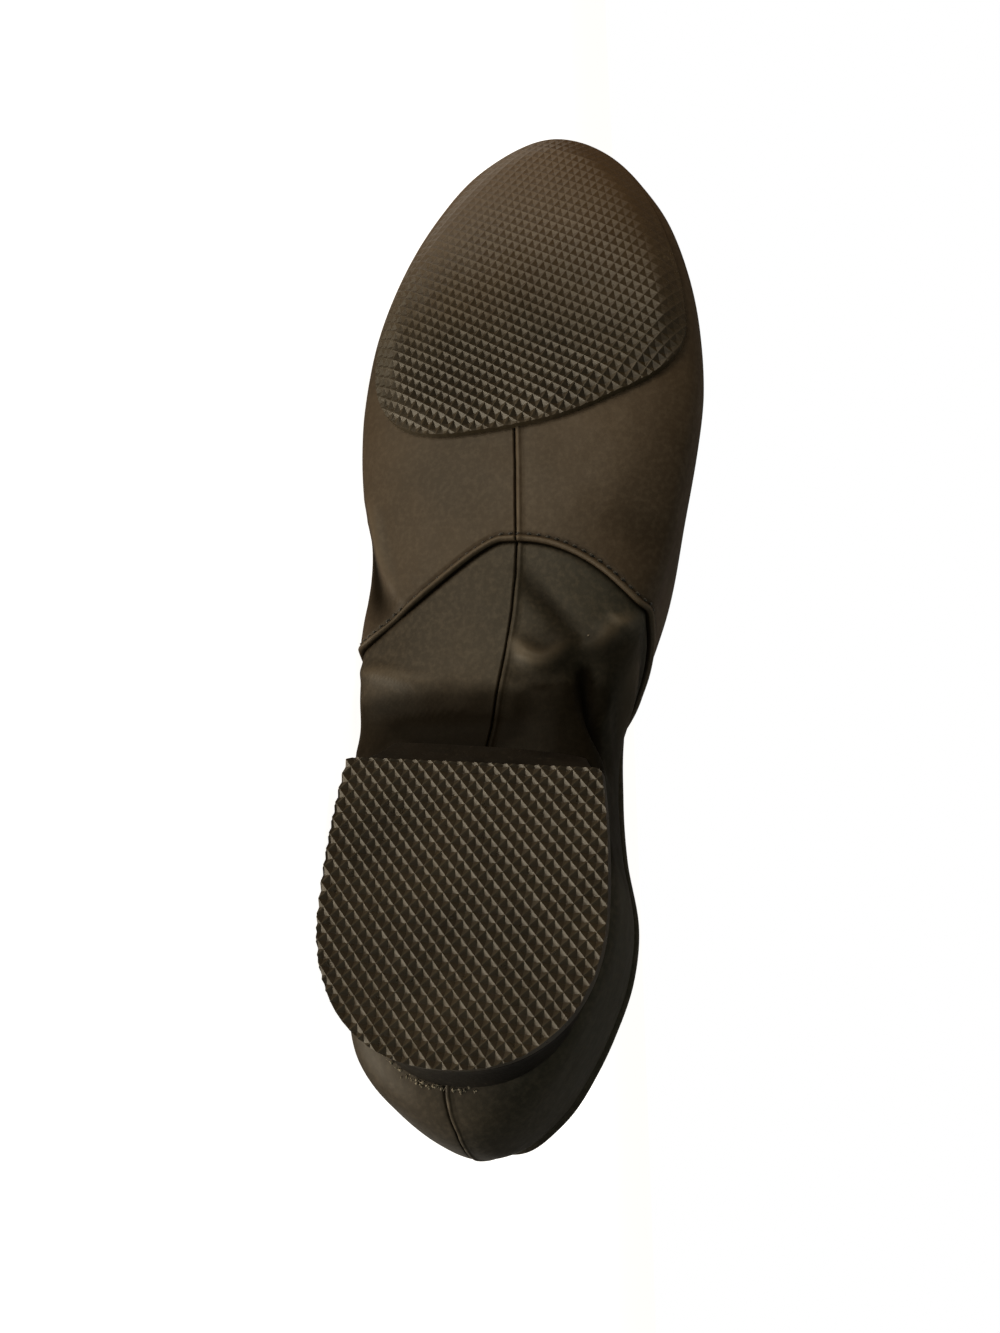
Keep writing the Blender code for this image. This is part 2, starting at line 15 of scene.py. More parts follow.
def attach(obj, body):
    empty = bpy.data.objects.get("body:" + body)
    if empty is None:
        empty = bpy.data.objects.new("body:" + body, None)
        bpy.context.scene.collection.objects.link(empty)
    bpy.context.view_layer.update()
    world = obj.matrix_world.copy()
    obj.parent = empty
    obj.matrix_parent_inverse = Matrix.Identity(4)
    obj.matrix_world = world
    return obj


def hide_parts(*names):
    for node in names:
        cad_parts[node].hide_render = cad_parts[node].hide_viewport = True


MM = 0.001

# The CAD source's own sizes
LENGTH = 0.256
BALL_WIDTH = 0.0833
INSTEP_HEIGHT = 0.062
BACK_HEIGHT = 0.058
TOE_SPRING = 0.0090
WALL = 0.0015
PANEL_STEP = 0.0008
GAP = 0.0003
SOLE_THICKNESS = 0.0025
SOLE_EDGE = 0.0012
SOLE_PRESS = 0.0002
HEEL_LIFT = 0.0030
HEEL_BLOCK = 0.0100
HEEL_WIDTH = 0.7023 * BALL_WIDTH
HEEL_LENGTH = 0.2305 * LENGTH
HEEL_BACK = 0.0605 * LENGTH
INSOLE_THICKNESS = 0.0015
BALL_LEVEL = SOLE_THICKNESS + GAP
SEAT_LEVEL = HEEL_LIFT + GAP + HEEL_BLOCK + GAP - PANEL_STEP
SEAM_APEX = 0.504 * LENGTH
SEAM_SWEEP_INNER = 0.055 * LENGTH
SEAM_SWEEP_OUTER = 0.079 * LENGTH
SEAM_TOP = 0.119 * LENGTH
SEAM_TURN_INNER = 0.42
SEAM_TURN_OUTER = 0.36
SEAM_BEND_INNER = 0.9
SEAM_BEND_OUTER = 0.6
SEAM_RISE_FROM = 0.42
SEAM_RISE_OVER = 0.50
LEAN_FROM = 0.20
LEAN_TO = 0.72
STEEPEST = 2.5
NARROWEST = 0.00001

# Where the two flat mounts lie on the standing shoe
HEEL_MOUNT = (0.045, -0.0024, 0.0)
BALL_MOUNT = (0.172, 0.0, 0.0)

# The cross-sections of the form: at, outer, inner, ridge, heel, toe, tuck, depth, broad_outer, broad_inner,
# under_square, over_square, with the same meanings and shares as in the CAD source
SECTIONS = np.array([
    (0.0000, -0.054, -0.054, -0.054, 1.00, 0.00, 0.345, 0.000, 0.50, 0.50, 2.0, 2.0),
    (0.0051, -0.122, 0.007, -0.058, 1.00, 0.00, 0.210, 0.360, 0.40, 0.40, 2.1, 2.0),
    (0.0145, -0.178, 0.043, -0.067, 1.00, 0.00, 0.125, 0.670, 0.30, 0.30, 2.3, 2.1),
    (0.0293, -0.244, 0.091, -0.076, 1.00, 0.00, 0.062, 0.900, 0.27, 0.25, 2.6, 2.1),
    (0.0500, -0.316, 0.144, -0.065, 1.00, 0.00, 0.022, 1.050, 0.25, 0.21, 2.9, 2.2),
    (0.0750, -0.370, 0.196, -0.060, 1.00, 0.00, 0.004, 1.110, 0.25, 0.18, 3.1, 2.2),
    (0.1102, -0.401, 0.252, -0.055, 1.00, 0.00, 0.000, 1.130, 0.25, 0.17, 3.3, 2.2),
    (0.1539, -0.420, 0.300, -0.053, 1.00, 0.00, 0.000, 1.130, 0.25, 0.17, 3.3, 2.2),
    (0.2012, -0.432, 0.312, -0.050, 1.00, 0.00, 0.000, 1.110, 0.25, 0.17, 3.3, 2.2),
    (0.2598, -0.448, 0.274, -0.045, 1.00, 0.00, 0.000, 1.075, 0.25, 0.18, 3.1, 2.2),
    (0.3184, -0.466, 0.258, -0.030, 0.97, 0.00, 0.000, 1.040, 0.24, 0.19, 2.8, 2.2),
    (0.3750, -0.473, 0.270, -0.010, 0.89, 0.00, 0.000, 1.010, 0.23, 0.20, 2.6, 2.1),
    (0.4277, -0.471, 0.336, 0.010, 0.76, 0.00, 0.000, 0.985, 0.22, 0.20, 2.5, 2.0),
    (0.4824, -0.463, 0.400, 0.025, 0.56, 0.00, 0.000, 0.945, 0.21, 0.20, 2.5, 2.0),
    (0.5527, -0.474, 0.454, 0.035, 0.27, 0.00, 0.000, 0.850, 0.22, 0.21, 2.7, 1.9),
    (0.6113, -0.490, 0.489, 0.040, 0.07, 0.00, 0.000, 0.755, 0.24, 0.24, 3.0, 1.9),
    (0.6621, -0.496, 0.504, 0.042, 0.00, 0.00, 0.000, 0.680, 0.27, 0.27, 3.3, 1.9),
    (0.7305, -0.486, 0.492, 0.040, 0.00, 0.00, 0.000, 0.578, 0.31, 0.31, 3.3, 2.0),
    (0.7891, -0.456, 0.460, 0.034, 0.00, 0.05, 0.000, 0.498, 0.35, 0.35, 3.2, 2.0),
    (0.8516, -0.402, 0.402, 0.022, 0.00, 0.20, 0.000, 0.418, 0.38, 0.38, 3.0, 2.1),
    (0.9062, -0.331, 0.319, -0.006, 0.00, 0.43, 0.000, 0.345, 0.40, 0.40, 2.8, 2.2),
    (0.9473, -0.255, 0.238, -0.008, 0.00, 0.67, 0.000, 0.278, 0.41, 0.41, 2.6, 2.2),
    (0.9746, -0.170, 0.158, -0.006, 0.00, 0.90, 0.000, 0.213, 0.43, 0.43, 2.4, 2.2),
    (0.9910, -0.096, 0.086, -0.005, 0.00, 1.15, 0.000, 0.137, 0.46, 0.46, 2.2, 2.1),
    (1.0000, -0.004, -0.004, -0.004, 0.00, 1.58, 0.000, 0.000, 0.50, 0.50, 2.0, 2.0),
])

TOPLINE = np.array([
    (-0.060, 1.010), (0.000, 1.005), (0.060, 0.975), (0.120, 0.920), (0.190, 0.870), (0.260, 0.862),
    (0.320, 0.900), (0.370, 0.985), (0.410, 1.100), (0.438, 1.240), (0.452, 1.400), (0.456, 1.700),
])

SOLE_OUTLINE = np.array([
    (0.607, -0.150), (0.614, -0.285), (0.633, -0.372), (0.664, -0.424), (0.706, -0.445), (0.748, -0.440),
    (0.795, -0.402), (0.852, -0.334), (0.905, -0.252), (0.949, -0.148), (0.973, -0.008), (0.965, 0.122),
    (0.930, 0.242), (0.862, 0.356), (0.787, 0.434), (0.727, 0.466), (0.688, 0.462), (0.657, 0.404),
    (0.634, 0.285), (0.614, 0.110),
])
SOLE_MIDDLE = np.array((0.768, 0.030))
SOLE_THINS_FROM = 0.86

HEEL_MIDDLE = -0.041 * HEEL_WIDTH
HEEL_BROAD_AT = 0.52
HEEL_FRONT_WIDTH = 0.925
HEEL_ROUND = 2.25
BREAST_SKEW = 0.030
SEAT_BACK = -0.035
SEAT_FRONT = 1.135
SEAT_WIDTH = 0.870
SEAT_FRONT_WIDTH = 0.740
SEAT_SHIFT = -0.025

INSOLE_BACK = 0.056
INSOLE_FRONT = 0.950
INSOLE_FILL = 0.74
INSOLE_ROUND = 0.72
INSOLE_ENDS = 0.09
INSOLE_SPREAD = 0.06

# The seam along the middle of the underside, and the seam up the back, both in millimetres
MIDDLE_SEAM = np.array([
    (0.0, -4.5), (40.0, -6.5), (70.0, -5.6), (82.1, -4.2), (89.3, -3.0), (97.2, -1.5), (105.2, -0.1),
    (113.2, 0.8), (121.4, 1.3), (128.8, 1.5), (146.3, 0.9), (155.9, 0.4), (200.0, 0.1), (256.0, -0.33),
])
BACK_SEAM = np.array([
    (11.0, -7.0), (14.4, -6.9), (16.0, -6.3), (18.7, -5.3), (22.7, -5.0), (28.5, -5.0), (60.0, -4.8),
])

# Soft folds of the leather, each a line over the skin in millimetres with its width and its height, up or
# down
FRONT_FOLDS = [
    ([(146, -37, 11), (140.5, -35.1, 10.2), (131.7, -33, 11), (124, -30.2, 11.3), (119, -26, 11)], 1.8, 1.3),
    ([(140, -41, 15), (130, -38.5, 15), (121, -35, 14), (115, -30, 12)], 4.5, -2.6),
    ([(123.8, -26.2, 10.3), (121.4, -22.9, 10), (119.0, -20.5, 10)], 0.7, 0.40),
    ([(125.8, -23.0, 9.8), (122.5, -19.5, 9.6)], 0.7, 0.28),
    ([(121.5, -27.5, 11), (118.4, -24.5, 10.8)], 0.6, -0.30),
    ([(127, 36, 14), (131, 30, 9), (136, 22, 7)], 6.0, -0.9),
    ([(150, 30, 6), (140, 22, 6), (136, 12, 6)], 7.0, 0.5),
]
REAR_FOLDS = [
    ([(104, -38, 20), (102, -33, 15.8), (100.4, -27.7, 14.1), (98.6, -22, 13.4), (97.8, -14, 13)], 1.8, 1.3),
    ([(90, -36, 20), (89, -28, 15), (88, -18, 13.5), (88, -8, 13.5), (88, 2, 13.5), (87, 12, 14.5)], 6, -3.0),
    ([(80, -36, 20), (79, -28, 15), (79, -18, 13.5), (79, -8, 13.5), (79, 2, 13.5), (79, 12, 14.5)], 5, -2.0),
    ([(122, 3, 9), (116, 8, 10), (111.5, 12, 11), (108.5, 15.5, 12.5), (106.5, 19, 13.5)], 2.4, -1.5),
    (
        [(106, 1.6, 11.9), (103.2, 4.6, 12.3), (102, 7.6, 12.7), (102.8, 10.4, 12.8), (105.5, 13, 12.8)],
        2.1, 2.4,
    ),
    ([(104.0, 17.0, 14.0), (107.0, 20.5, 15.0), (110.5, 24.0, 16.2), (113.0, 27.0, 18.0)], 2.4, 1.9),
    ([(112.5, 22.5, 13.8), (110.0, 26.5, 16.2)], 0.8, 0.45),
    ([(110.5, 22.0, 14.2), (108.0, 26.0, 17.0)], 0.7, -0.45),
    ([(99.0, 0.8, 12.5), (98.0, 4.9, 12.9), (97.6, 9.9, 13.7), (99.0, 14.0, 14.6)], 2.0, -1.4),
    (
        [(101.5, 16.5, 15.1), (96.6, 17.9, 16.6), (91.9, 19.3, 18.6), (87.4, 20.5, 21.5), (83, 21.5, 27)],
        3.0, -5.0,
    ),
    ([(104, 27, 22), (101.6, 25.5, 27), (97, 24, 33), (91, 23, 38)], 5.0, 2.6),
    ([(112, 27, 24), (108, 24.5, 30), (104, 23, 38)], 2.2, -0.9),
    ([(86, -38, 24), (80, -34, 18), (76, -31, 16)], 3.0, 0.8),
]
# Soft waves across the top, where the toes bend the vamp
TOP_FOLDS = [
    ([(176, 26, 28), (172, 12, 38), (170, 0, 41), (173, -14, 37), (178, -27, 27)], 3.4, -0.8),
    ([(183, 24, 27), (180, 10, 35), (178, 0, 37), (181, -14, 33), (186, -25, 25)], 3.2, 0.6),
    ([(164, 30, 30), (160, 14, 44), (158, 2, 47), (161, -14, 43), (166, -30, 30)], 4.0, 0.6),
    ([(110, -24, 52), (118, -14, 60), (122, 0, 63), (118, 14, 60), (110, 24, 50)], 5.0, -0.7),
]


def ease(t):
    """Run smoothly from 0 to 1."""
    t = np.clip(t, 0.0, 1.0)
    return t * t * (3 - 2 * t)


def bell(distance, width):
    """Give 1 at distance 0, falling off over about the width."""
    return np.exp(-(distance / width) ** 2)


def unit(vectors):
    """Bring each row to a length of 1."""
    return vectors / np.linalg.norm(vectors, axis=-1, keepdims=True)


def lengths_along(path):
    """Give how far each point of a path lies along it."""
    return np.concatenate([[0.0], np.cumsum(np.linalg.norm(np.diff(path, axis=0), axis=1))])


def at_lengths(wanted, along, values):
    """Read values at the wanted lengths along a path."""
    return np.stack([np.interp(wanted, along, values[:, c]) for c in range(3)], axis=-1)


def near_piece(points, a, b):
    """Give each point's distance to the straight piece from a to b, and its share of the way along."""
    ab = b - a
    t = np.clip(((points - a) @ ab) / (ab @ ab), 0, 1)
    return np.linalg.norm(points - a - t[:, None] * ab, axis=1), t


def turn_of(at):
    return np.arccos(1 - 2 * np.clip(at, 0.0, 1.0))


def smooth(knots, rows, t):
    """Read every column of the rows at each t with one cubic curve through the knots."""
    t = np.asarray(t, float)
    last = len(knots) - 1
    i = np.clip(np.searchsorted(knots, t, side="left") - 1, 0, last - 1)

    def slope(k):
        low = np.maximum(k - 1, 0)
        high = np.minimum(k + 1, last)
        return (rows[high] - rows[low]) / (knots[high] - knots[low])[..., None]

    span = (knots[i + 1] - knots[i])[..., None]
    u = ((t - knots[i]) / (knots[i + 1] - knots[i]))[..., None]
    a, b = rows[i], rows[i + 1]
    ma, mb = slope(i) * span, slope(i + 1) * span
    return (
        a * (1 + 2 * u) * (1 - u) ** 2 + ma * u * (1 - u) ** 2
        + b * u * u * (3 - 2 * u) - mb * u * u * (1 - u)
    )


SECTION_KNOTS = turn_of(SECTIONS[:, 0])


def form_at(x):
    """Work out the outer form's cross-section at each x."""
    s = smooth(SECTION_KNOTS, SECTIONS, turn_of(x / LENGTH))
    heel_rise = s[..., 4] * (SEAT_LEVEL - BALL_LEVEL)
    under = BALL_LEVEL + heel_rise + s[..., 5] * TOE_SPRING + s[..., 6] * BACK_HEIGHT
    depth = np.maximum(s[..., 7], 0.0) * INSTEP_HEIGHT
    outer, inner = s[..., 1] * BALL_WIDTH, s[..., 2] * BALL_WIDTH
    return {
        "outer": outer, "inner": inner, "keel": (outer + inner) / 2, "ridge": s[..., 3] * BALL_WIDTH,
        "under": under, "over": under + depth, "broad_outer": under + s[..., 8] * depth,
        "broad_inner": under + s[..., 9] * depth, "under_square": s[..., 10], "over_square": s[..., 11],
    }


def side_sizes(f, on_inner):
    """Pick where the form's side is and how high up it is broadest, by which side a point is on."""
    edge = np.where(on_inner, f["inner"], f["outer"])
    return edge, np.where(on_inner, f["broad_inner"], f["broad_outer"])


def underside(x, y):
    """Give the height of the form's lower side over points of the ground."""
    f = form_at(x)
    edge, broad = side_sizes(f, y > f["keel"])
    t = np.minimum(np.abs(y - f["keel"]) / np.maximum(np.abs(edge - f["keel"]), NARROWEST), 1.0)
    return broad - (broad - f["under"]) * (1 - t ** f["under_square"]) ** (1 / f["under_square"])


def off_skin(x, y, distance):
    """Give the height of points at a distance, square to the surface, inside the form's lower side."""
    step = 0.0005
    rise_x = (underside(x + step, y) - underside(x - step, y)) / (2 * step)
    rise_y = (underside(x, y + step) - underside(x, y - step)) / (2 * step)
    slope = np.minimum(np.hypot(rise_x, rise_y), STEEPEST)
    return underside(x, y) + distance * np.sqrt(1 + slope ** 2)


def skin(base, share):
    """Give points of the outer form. share runs from -0.5 over the outer side through the keel to 0.5."""
    girth = 2 * np.abs(share)
    on_inner = share >= 0
    side = np.where(on_inner, SEAM_SWEEP_INNER, SEAM_SWEEP_OUTER)
    turn = np.where(on_inner, SEAM_TURN_INNER, SEAM_TURN_OUTER)
    bend = np.where(on_inner, SEAM_BEND_INNER, SEAM_BEND_OUTER)
    risen = ease((girth - SEAM_RISE_FROM) / SEAM_RISE_OVER)
    sweep = side * ease((girth / turn) ** bend) + (SEAM_TOP - side) * risen
    behind = ease((base / SEAM_APEX - LEAN_FROM) / (1 - LEAN_FROM))
    before = ease((LEAN_TO * LENGTH - base) / (LEAN_TO * LENGTH - SEAM_APEX))
    x = base - sweep * np.where(base < SEAM_APEX, behind, before)
    f = form_at(x)
    edge, broad = side_sizes(f, on_inner)
    quarter = pi * girth
    low = quarter <= pi / 2
    rest = pi - quarter
    y_low = f["keel"] + (edge - f["keel"]) * np.clip(np.sin(quarter), 0, 1) ** (2 / f["under_square"])
    z_low = broad - (broad - f["under"]) * np.clip(np.cos(quarter), 0, 1) ** (2 / f["under_square"])
    y_high = f["ridge"] + (edge - f["ridge"]) * np.clip(np.sin(rest), 0, 1) ** (2 / f["over_square"])
    z_high = broad + (f["over"] - broad) * np.clip(np.cos(rest), 0, 1) ** (2 / f["over_square"])
    return np.stack([x, np.where(low, y_low, y_high), np.where(low, z_low, z_high)], axis=-1)


def spread(low, high, count, dense=()):
    """Space values from low to high, closer together round each (centre, width, factor)."""
    fine = np.linspace(low, high, 8001)
    weight = np.ones_like(fine)
    for centre, width, factor in dense:
        weight += factor * bell(fine - centre, width)
    total = np.concatenate([[0.0], np.cumsum((weight[1:] + weight[:-1]) / 2)])
    return np.interp(np.linspace(0, total[-1], count), total, fine)


def fine_shares():
    """List shares that step evenly along the skin, where the form's curves run fast."""
    quarter = ease(np.linspace(0, 1, 97)) * 0.25
    half = np.concatenate([quarter, 0.25 + quarter[1:]])
    return np.concatenate([-half[::-1], half[1:]])


FINE = fine_shares()
# How many of the fine shares, to each side of the keel, may hold the middle seam
NEAR_KEEL = 90


def rings(bases, across):
    """Sample the skin on rings. across runs from -0.5 to 0.5 with 0 on the middle seam."""
    shares = FINE[None, :]
    points = skin(np.asarray(bases)[:, None], shares)
    middle = len(FINE) // 2
    out = np.zeros((len(bases), len(across), 3))
    for r, ring in enumerate(points):
        along = lengths_along(ring)
        near = slice(middle - NEAR_KEEL, middle + NEAR_KEEL + 1)
        off_seam = ring[near, 1] - np.interp(ring[near, 0] / MM, *MIDDLE_SEAM.T) * MM
        order = np.argsort(off_seam)
        centre = np.interp(0.0, off_seam[order], along[near][order])
        place = np.where(
            across < 0, centre + across * 2 * centre, centre + across * 2 * (along[-1] - centre),
        )
        out[r] = at_lengths(place, along, ring)
    return out


def grid_normals(points):
    """Give outward normals of a grid that closes round on itself from its first column to its last."""
    along = np.gradient(points, axis=0)
    wide = np.concatenate([points[:, -2:-1], points, points[:, 1:2]], axis=1)
    around = wide[:, 2:] - wide[:, :-2]
    normal = np.cross(along, around)
    size = np.linalg.norm(normal, axis=2, keepdims=True)
    normal = normal / np.maximum(size, 1e-15)
    centre = points.mean(axis=1, keepdims=True)
    flip = np.sign((normal * (points - centre)).sum(axis=2).mean())
    return normal * (flip if flip != 0 else 1.0)


def to_line(points, line):
    """Give each point's distance to a line of straight pieces, and how far along it that is, from 0 to 1."""
    line = np.asarray(line, float)
    best = np.full(len(points), np.inf)
    along = np.zeros(len(points))
    lengths = np.linalg.norm(np.diff(line, axis=0), axis=1)
    starts = np.concatenate([[0.0], np.cumsum(lengths)])
    for k, (a, b) in enumerate(zip(line, line[1:])):
        d, t = near_piece(points, a, b)
        closer = d < best
        best[closer] = d[closer]
        along[closer] = (starts[k] + t[closer] * lengths[k]) / starts[-1]
    return best, along


def folded(points, folds):
    """Give how far the leather's folds lift each point, in metres."""
    flat = points.reshape(-1, 3) / MM
    lift = np.zeros(len(flat))
    for line, width, height in folds:
        line = rounded(np.asarray(line, float), 6)
        low, high = line.min(0) - 3 * width, line.max(0) + 3 * width
        near = np.flatnonzero(((flat > low) & (flat < high)).all(axis=1))
        if not len(near):
            continue
        d, t = to_line(flat[near], line)
        taper = np.sin(pi * np.clip(0.08 + 0.84 * t, 0, 1)) ** 0.7
        lift[near] += height * taper * bell(d, width)
    return lift.reshape(points.shape[:-1]) * MM


def rounded(line, steps):
    """Draw a smooth curve through the points of a line."""
    if len(line) < 3:
        return line
    knots = np.arange(len(line), dtype=float)
    return smooth(knots, line, np.linspace(0, len(line) - 1, (len(line) - 1) * steps + 1))


WAVES = 14


def waves(points, size, seed):
    """Give smooth irregular waves from -1 to 1, of about the given size in metres."""
    rng = np.random.default_rng(seed)
    total = np.zeros(points.shape[:-1])
    for _ in range(WAVES):
        direction = rng.normal(size=3)
        direction /= np.linalg.norm(direction)
        length = size * rng.uniform(0.6, 1.8)
        total += np.sin(points @ direction * 2 * pi / length + rng.uniform(0, 2 * pi))
    return total / WAVES ** 0.5 / 1.6


def seam_profile(distance, knots):
    """Read a seam's cross-section, given as distances and heights in millimetres."""
    places, heights = zip(*knots)
    return np.interp(distance / MM, places, heights, left=0.0, right=0.0) * MM


MIDDLE_PROFILE = [
    (-1.2, 0.0), (-0.5, 0.04), (-0.25, -0.08), (-0.06, -0.55), (0.06, -0.55), (0.28, -0.03), (0.62, 0.30),
    (1.05, 0.30), (1.6, 0.10), (2.3, 0.0),
]
BACK_PROFILE = [
    (-2.2, 0.0), (-0.8, 0.02), (-0.25, -0.06), (0.0, -0.36), (0.22, 0.06), (0.50, 0.30), (0.85, 0.28),
    (1.2, 0.08), (2.0, 0.0),
]
ROLLED_PROFILE = [
    (0.0, -0.10), (0.12, 0.20), (0.32, 0.46), (0.6, 0.58), (0.9, 0.50), (1.15, 0.24), (1.35, -0.10),
    (1.6, -0.26), (1.9, -0.14), (2.4, 0.04), (3.2, 0.05), (4.5, 0.0),
]
TUCKED_PROFILE = [(-6.0, -0.45), (-0.1, -0.45), (0.0, -0.35), (0.5, -0.22), (1.2, -0.04), (2.0, 0.0)]


# Where along the shoe the middle seam starts and ends and the back seam ends, and how far up from the
# underside a point can be on the middle seam
MIDDLE_SEAM_FROM = 0.078
MIDDLE_SEAM_TO = 0.172
BACK_SEAM_TO = 0.022
SEAM_BAND = 0.006


def across_seams(points):
    """Give x, how far each point is from the middle and back seams, and which points are on the underside."""
    x, y, z = points[..., 0], points[..., 1], points[..., 2]
    middle = y - np.interp(x / MM, *MIDDLE_SEAM.T) * MM
    back = y - np.interp(z / MM, *BACK_SEAM.T) * MM
    return x, middle, back, z < form_at(x)["under"] + SEAM_BAND


def seams(points):
    """Give how far the middle seam and the back seam lift each point."""
    x, middle, back, below = across_seams(points)
    lift = np.where(below & (x > MIDDLE_SEAM_FROM), seam_profile(middle, MIDDLE_PROFILE), 0.0)
    lift *= ease((MIDDLE_SEAM_TO - x) / 0.008)
    rear = np.where(x < BACK_SEAM_TO, seam_profile(back, BACK_PROFILE), 0.0)
    return lift + rear * ease((BACK_SEAM_TO - x) / 0.004)


def clip(data, faces, keep):
    """Cut a mesh along the line where keep is 0, and leave the side where it is positive."""
    sign = keep >= 0
    faces = np.asarray(faces)
    inside = sign[faces]
    whole = faces[inside.all(axis=1)]
    crossed = faces[inside.any(axis=1) & ~inside.all(axis=1)]
    made = []
    added = []
    cuts = {}

    def crossing(a, b):
        key = (a, b) if a < b else (b, a)
        if key not in cuts:
            t = keep[a] / (keep[a] - keep[b])
            cuts[key] = len(data) + len(added)
            added.append(data[a] + (data[b] - data[a]) * t)
        return cuts[key]

    for face in crossed.tolist():
        loop = []
        for a, b in zip(face, face[1:] + face[:1]):
            if sign[a]:
                loop.append(a)
            if sign[a] != sign[b]:
                loop.append(crossing(a, b))
        if len(loop) >= 3:
            made.append(loop)
    every = np.vstack([data] + ([np.array(added)] if added else []))
    loops = whole.tolist() + made
    used = np.zeros(len(every), bool)
    for loop in loops:
        used[loop] = True
    index = np.cumsum(used) - 1
    return every[used], [[int(index[v]) for v in loop] for loop in loops]


def make_piece(name, data, faces, names, material, smooth_faces=True):
    """Put a mesh in the scene, turned from standing into the lying frame, with its columns as attributes."""
    mesh = bpy.data.meshes.new(name)
    mesh.from_pydata(data[:, :3].tolist(), [], faces)
    for k, column in enumerate(names):
        attribute = mesh.attributes.new(column, "FLOAT", "POINT")
        attribute.data.foreach_set("value", data[:, 3 + k].astype(np.float32))
    if smooth_faces:
        mesh.shade_smooth()
    mesh.update()
    obj = bpy.data.objects.new(name, mesh)
    bpy.context.scene.collection.objects.link(obj)
    obj.matrix_world = STAND
    mesh.materials.append(material)
    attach(obj, "root")
    return obj


def grid_faces(rows, columns, flip=False):
    """List the faces of a grid whose last column meets its first."""
    faces = []
    for r in range(rows - 1):
        for c in range(columns):
            n = (c + 1) % columns
            quad = (r * columns + c, r * columns + n, (r + 1) * columns + n, (r + 1) * columns + c)
            faces.append(quad[::-1] if flip else quad)
    return faces


def topline(count):
    """Sample the collar's line, as its places along the shoe and its heights."""
    line = smooth(np.arange(len(TOPLINE), dtype=float), TOPLINE, np.linspace(0, len(TOPLINE) - 1, count))
    return line[:, 0] * LENGTH, line[:, 1] * BACK_HEIGHT


def topline_height(x):
    """Give the collar's height over x, and a great height before the collar."""
    places, heights = topline(400)
    order = np.argsort(places)
    return np.interp(x, places[order], heights[order], right=0.2)


def collar_line(count):
    """Give the collar's edge as a closed loop of skin points, from the back round the inner side."""
    x, z = topline(4000)
    keep = (x > 0.0003) & (x < LENGTH)
    x, z = x[keep], z[keep]
    f = form_at(x)
    inside = z < f["over"]
    first = np.flatnonzero(inside)[0]
    stop = first + np.flatnonzero(~inside[first:])[0]
    x, z = x[first:stop], z[first:stop]
    f = form_at(x)
    halves = []
    for edge, broad in ((f["inner"], f["broad_inner"]), (f["outer"], f["broad_outer"])):
        t = np.clip((z - broad) / (f["over"] - broad), 0, 1)
        y = f["ridge"] + (edge - f["ridge"]) * (1 - t ** f["over_square"]) ** (1 / f["over_square"])
        halves.append(np.stack([x, y, z], axis=-1))
    loop = np.vstack([halves[0], halves[1][::-1]])
    return even_loop(loop, count)


def even_loop(loop, count):
    """Sample a closed loop of points at even steps of its length."""
    closed = np.vstack([loop, loop[:1]])
    along = lengths_along(closed)
    return at_lengths(np.linspace(0, along[-1], count, endpoint=False), along, closed)


def level(p):
    """Say how far out points lie: 1 on the form's surface, less inside it."""
    f = form_at(p[:, 0])
    middle_y = np.where(p[:, 2] > f["broad_inner"], f["ridge"], f["keel"])
    edge, broad = side_sizes(f, p[:, 1] > middle_y)
    above = p[:, 2] > broad
    middle = np.where(above, f["ridge"], f["keel"])
    power = np.where(above, f["over_square"], f["under_square"])
    reach = np.where(above, f["over"] - broad, broad - f["under"])
    u = np.abs((p[:, 1] - middle) / (edge - middle))
    v = np.abs((p[:, 2] - broad) / np.maximum(reach, 1e-6))
    return (u ** power + v ** power) ** (1 / power)


def skin_normal_at(points):
    """Give the outward normal of the form at points near it, from its implicit shape."""
    step = 0.0004
    slope = np.stack([
        level(points + step * np.eye(3)[c]) - level(points - step * np.eye(3)[c]) for c in range(3)
    ], axis=-1)
    return unit(slope)


# Materials

def new_material(name, roughness, coat=0.0, sheen=0.0, specular=0.5):
    """Start a material whose constant values sit on the shader itself."""
    material = bpy.data.materials.new(name)
    material.use_nodes = True
    shader = material.node_tree.nodes["Principled BSDF"]
    shader.inputs["Roughness"].default_value = roughness
    shader.inputs["Specular IOR Level"].default_value = specular
    shader.inputs["Coat Weight"].default_value = coat
    shader.inputs["Coat Roughness"].default_value = 0.35
    shader.inputs["Sheen Weight"].default_value = sheen
    return material, material.node_tree, shader


def node(tree, kind, **inputs):
    """Add a node and set or link its inputs by name."""
    made = tree.nodes.new(kind)
    for key, value in inputs.items():
        if hasattr(made, key) and not isinstance(value, bpy.types.NodeSocket):
            setattr(made, key, value)
            continue
        socket = made.inputs[int(key[1:])] if key[0] == "i" and key[1:].isdigit() else made.inputs[key]
        if isinstance(value, bpy.types.NodeSocket):
            tree.links.new(value, socket)
        else:
            socket.default_value = value
    return made


def place_of(tree):
    return tree.nodes.new("ShaderNodeTexCoord").outputs["Object"]


def noise(tree, place, size, detail=3.0, rough=0.5):
    """Give noise whose lumps measure about size metres."""
    return node(
        tree, "ShaderNodeTexNoise", Vector=place, Scale=1 / size, Detail=detail, Roughness=rough,
    ).outputs["Fac"]


def ranged(tree, value, low, high, to_low=0.0, to_high=1.0):
    made = node(tree, "ShaderNodeMapRange", Value=value)
    for key, number in (("From Min", low), ("From Max", high), ("To Min", to_low), ("To Max", to_high)):
        made.inputs[key].default_value = number
    return made.outputs["Result"]


def math(tree, operation, a, b):
    return node(tree, "ShaderNodeMath", operation=operation, i0=a, i1=b).outputs[0]


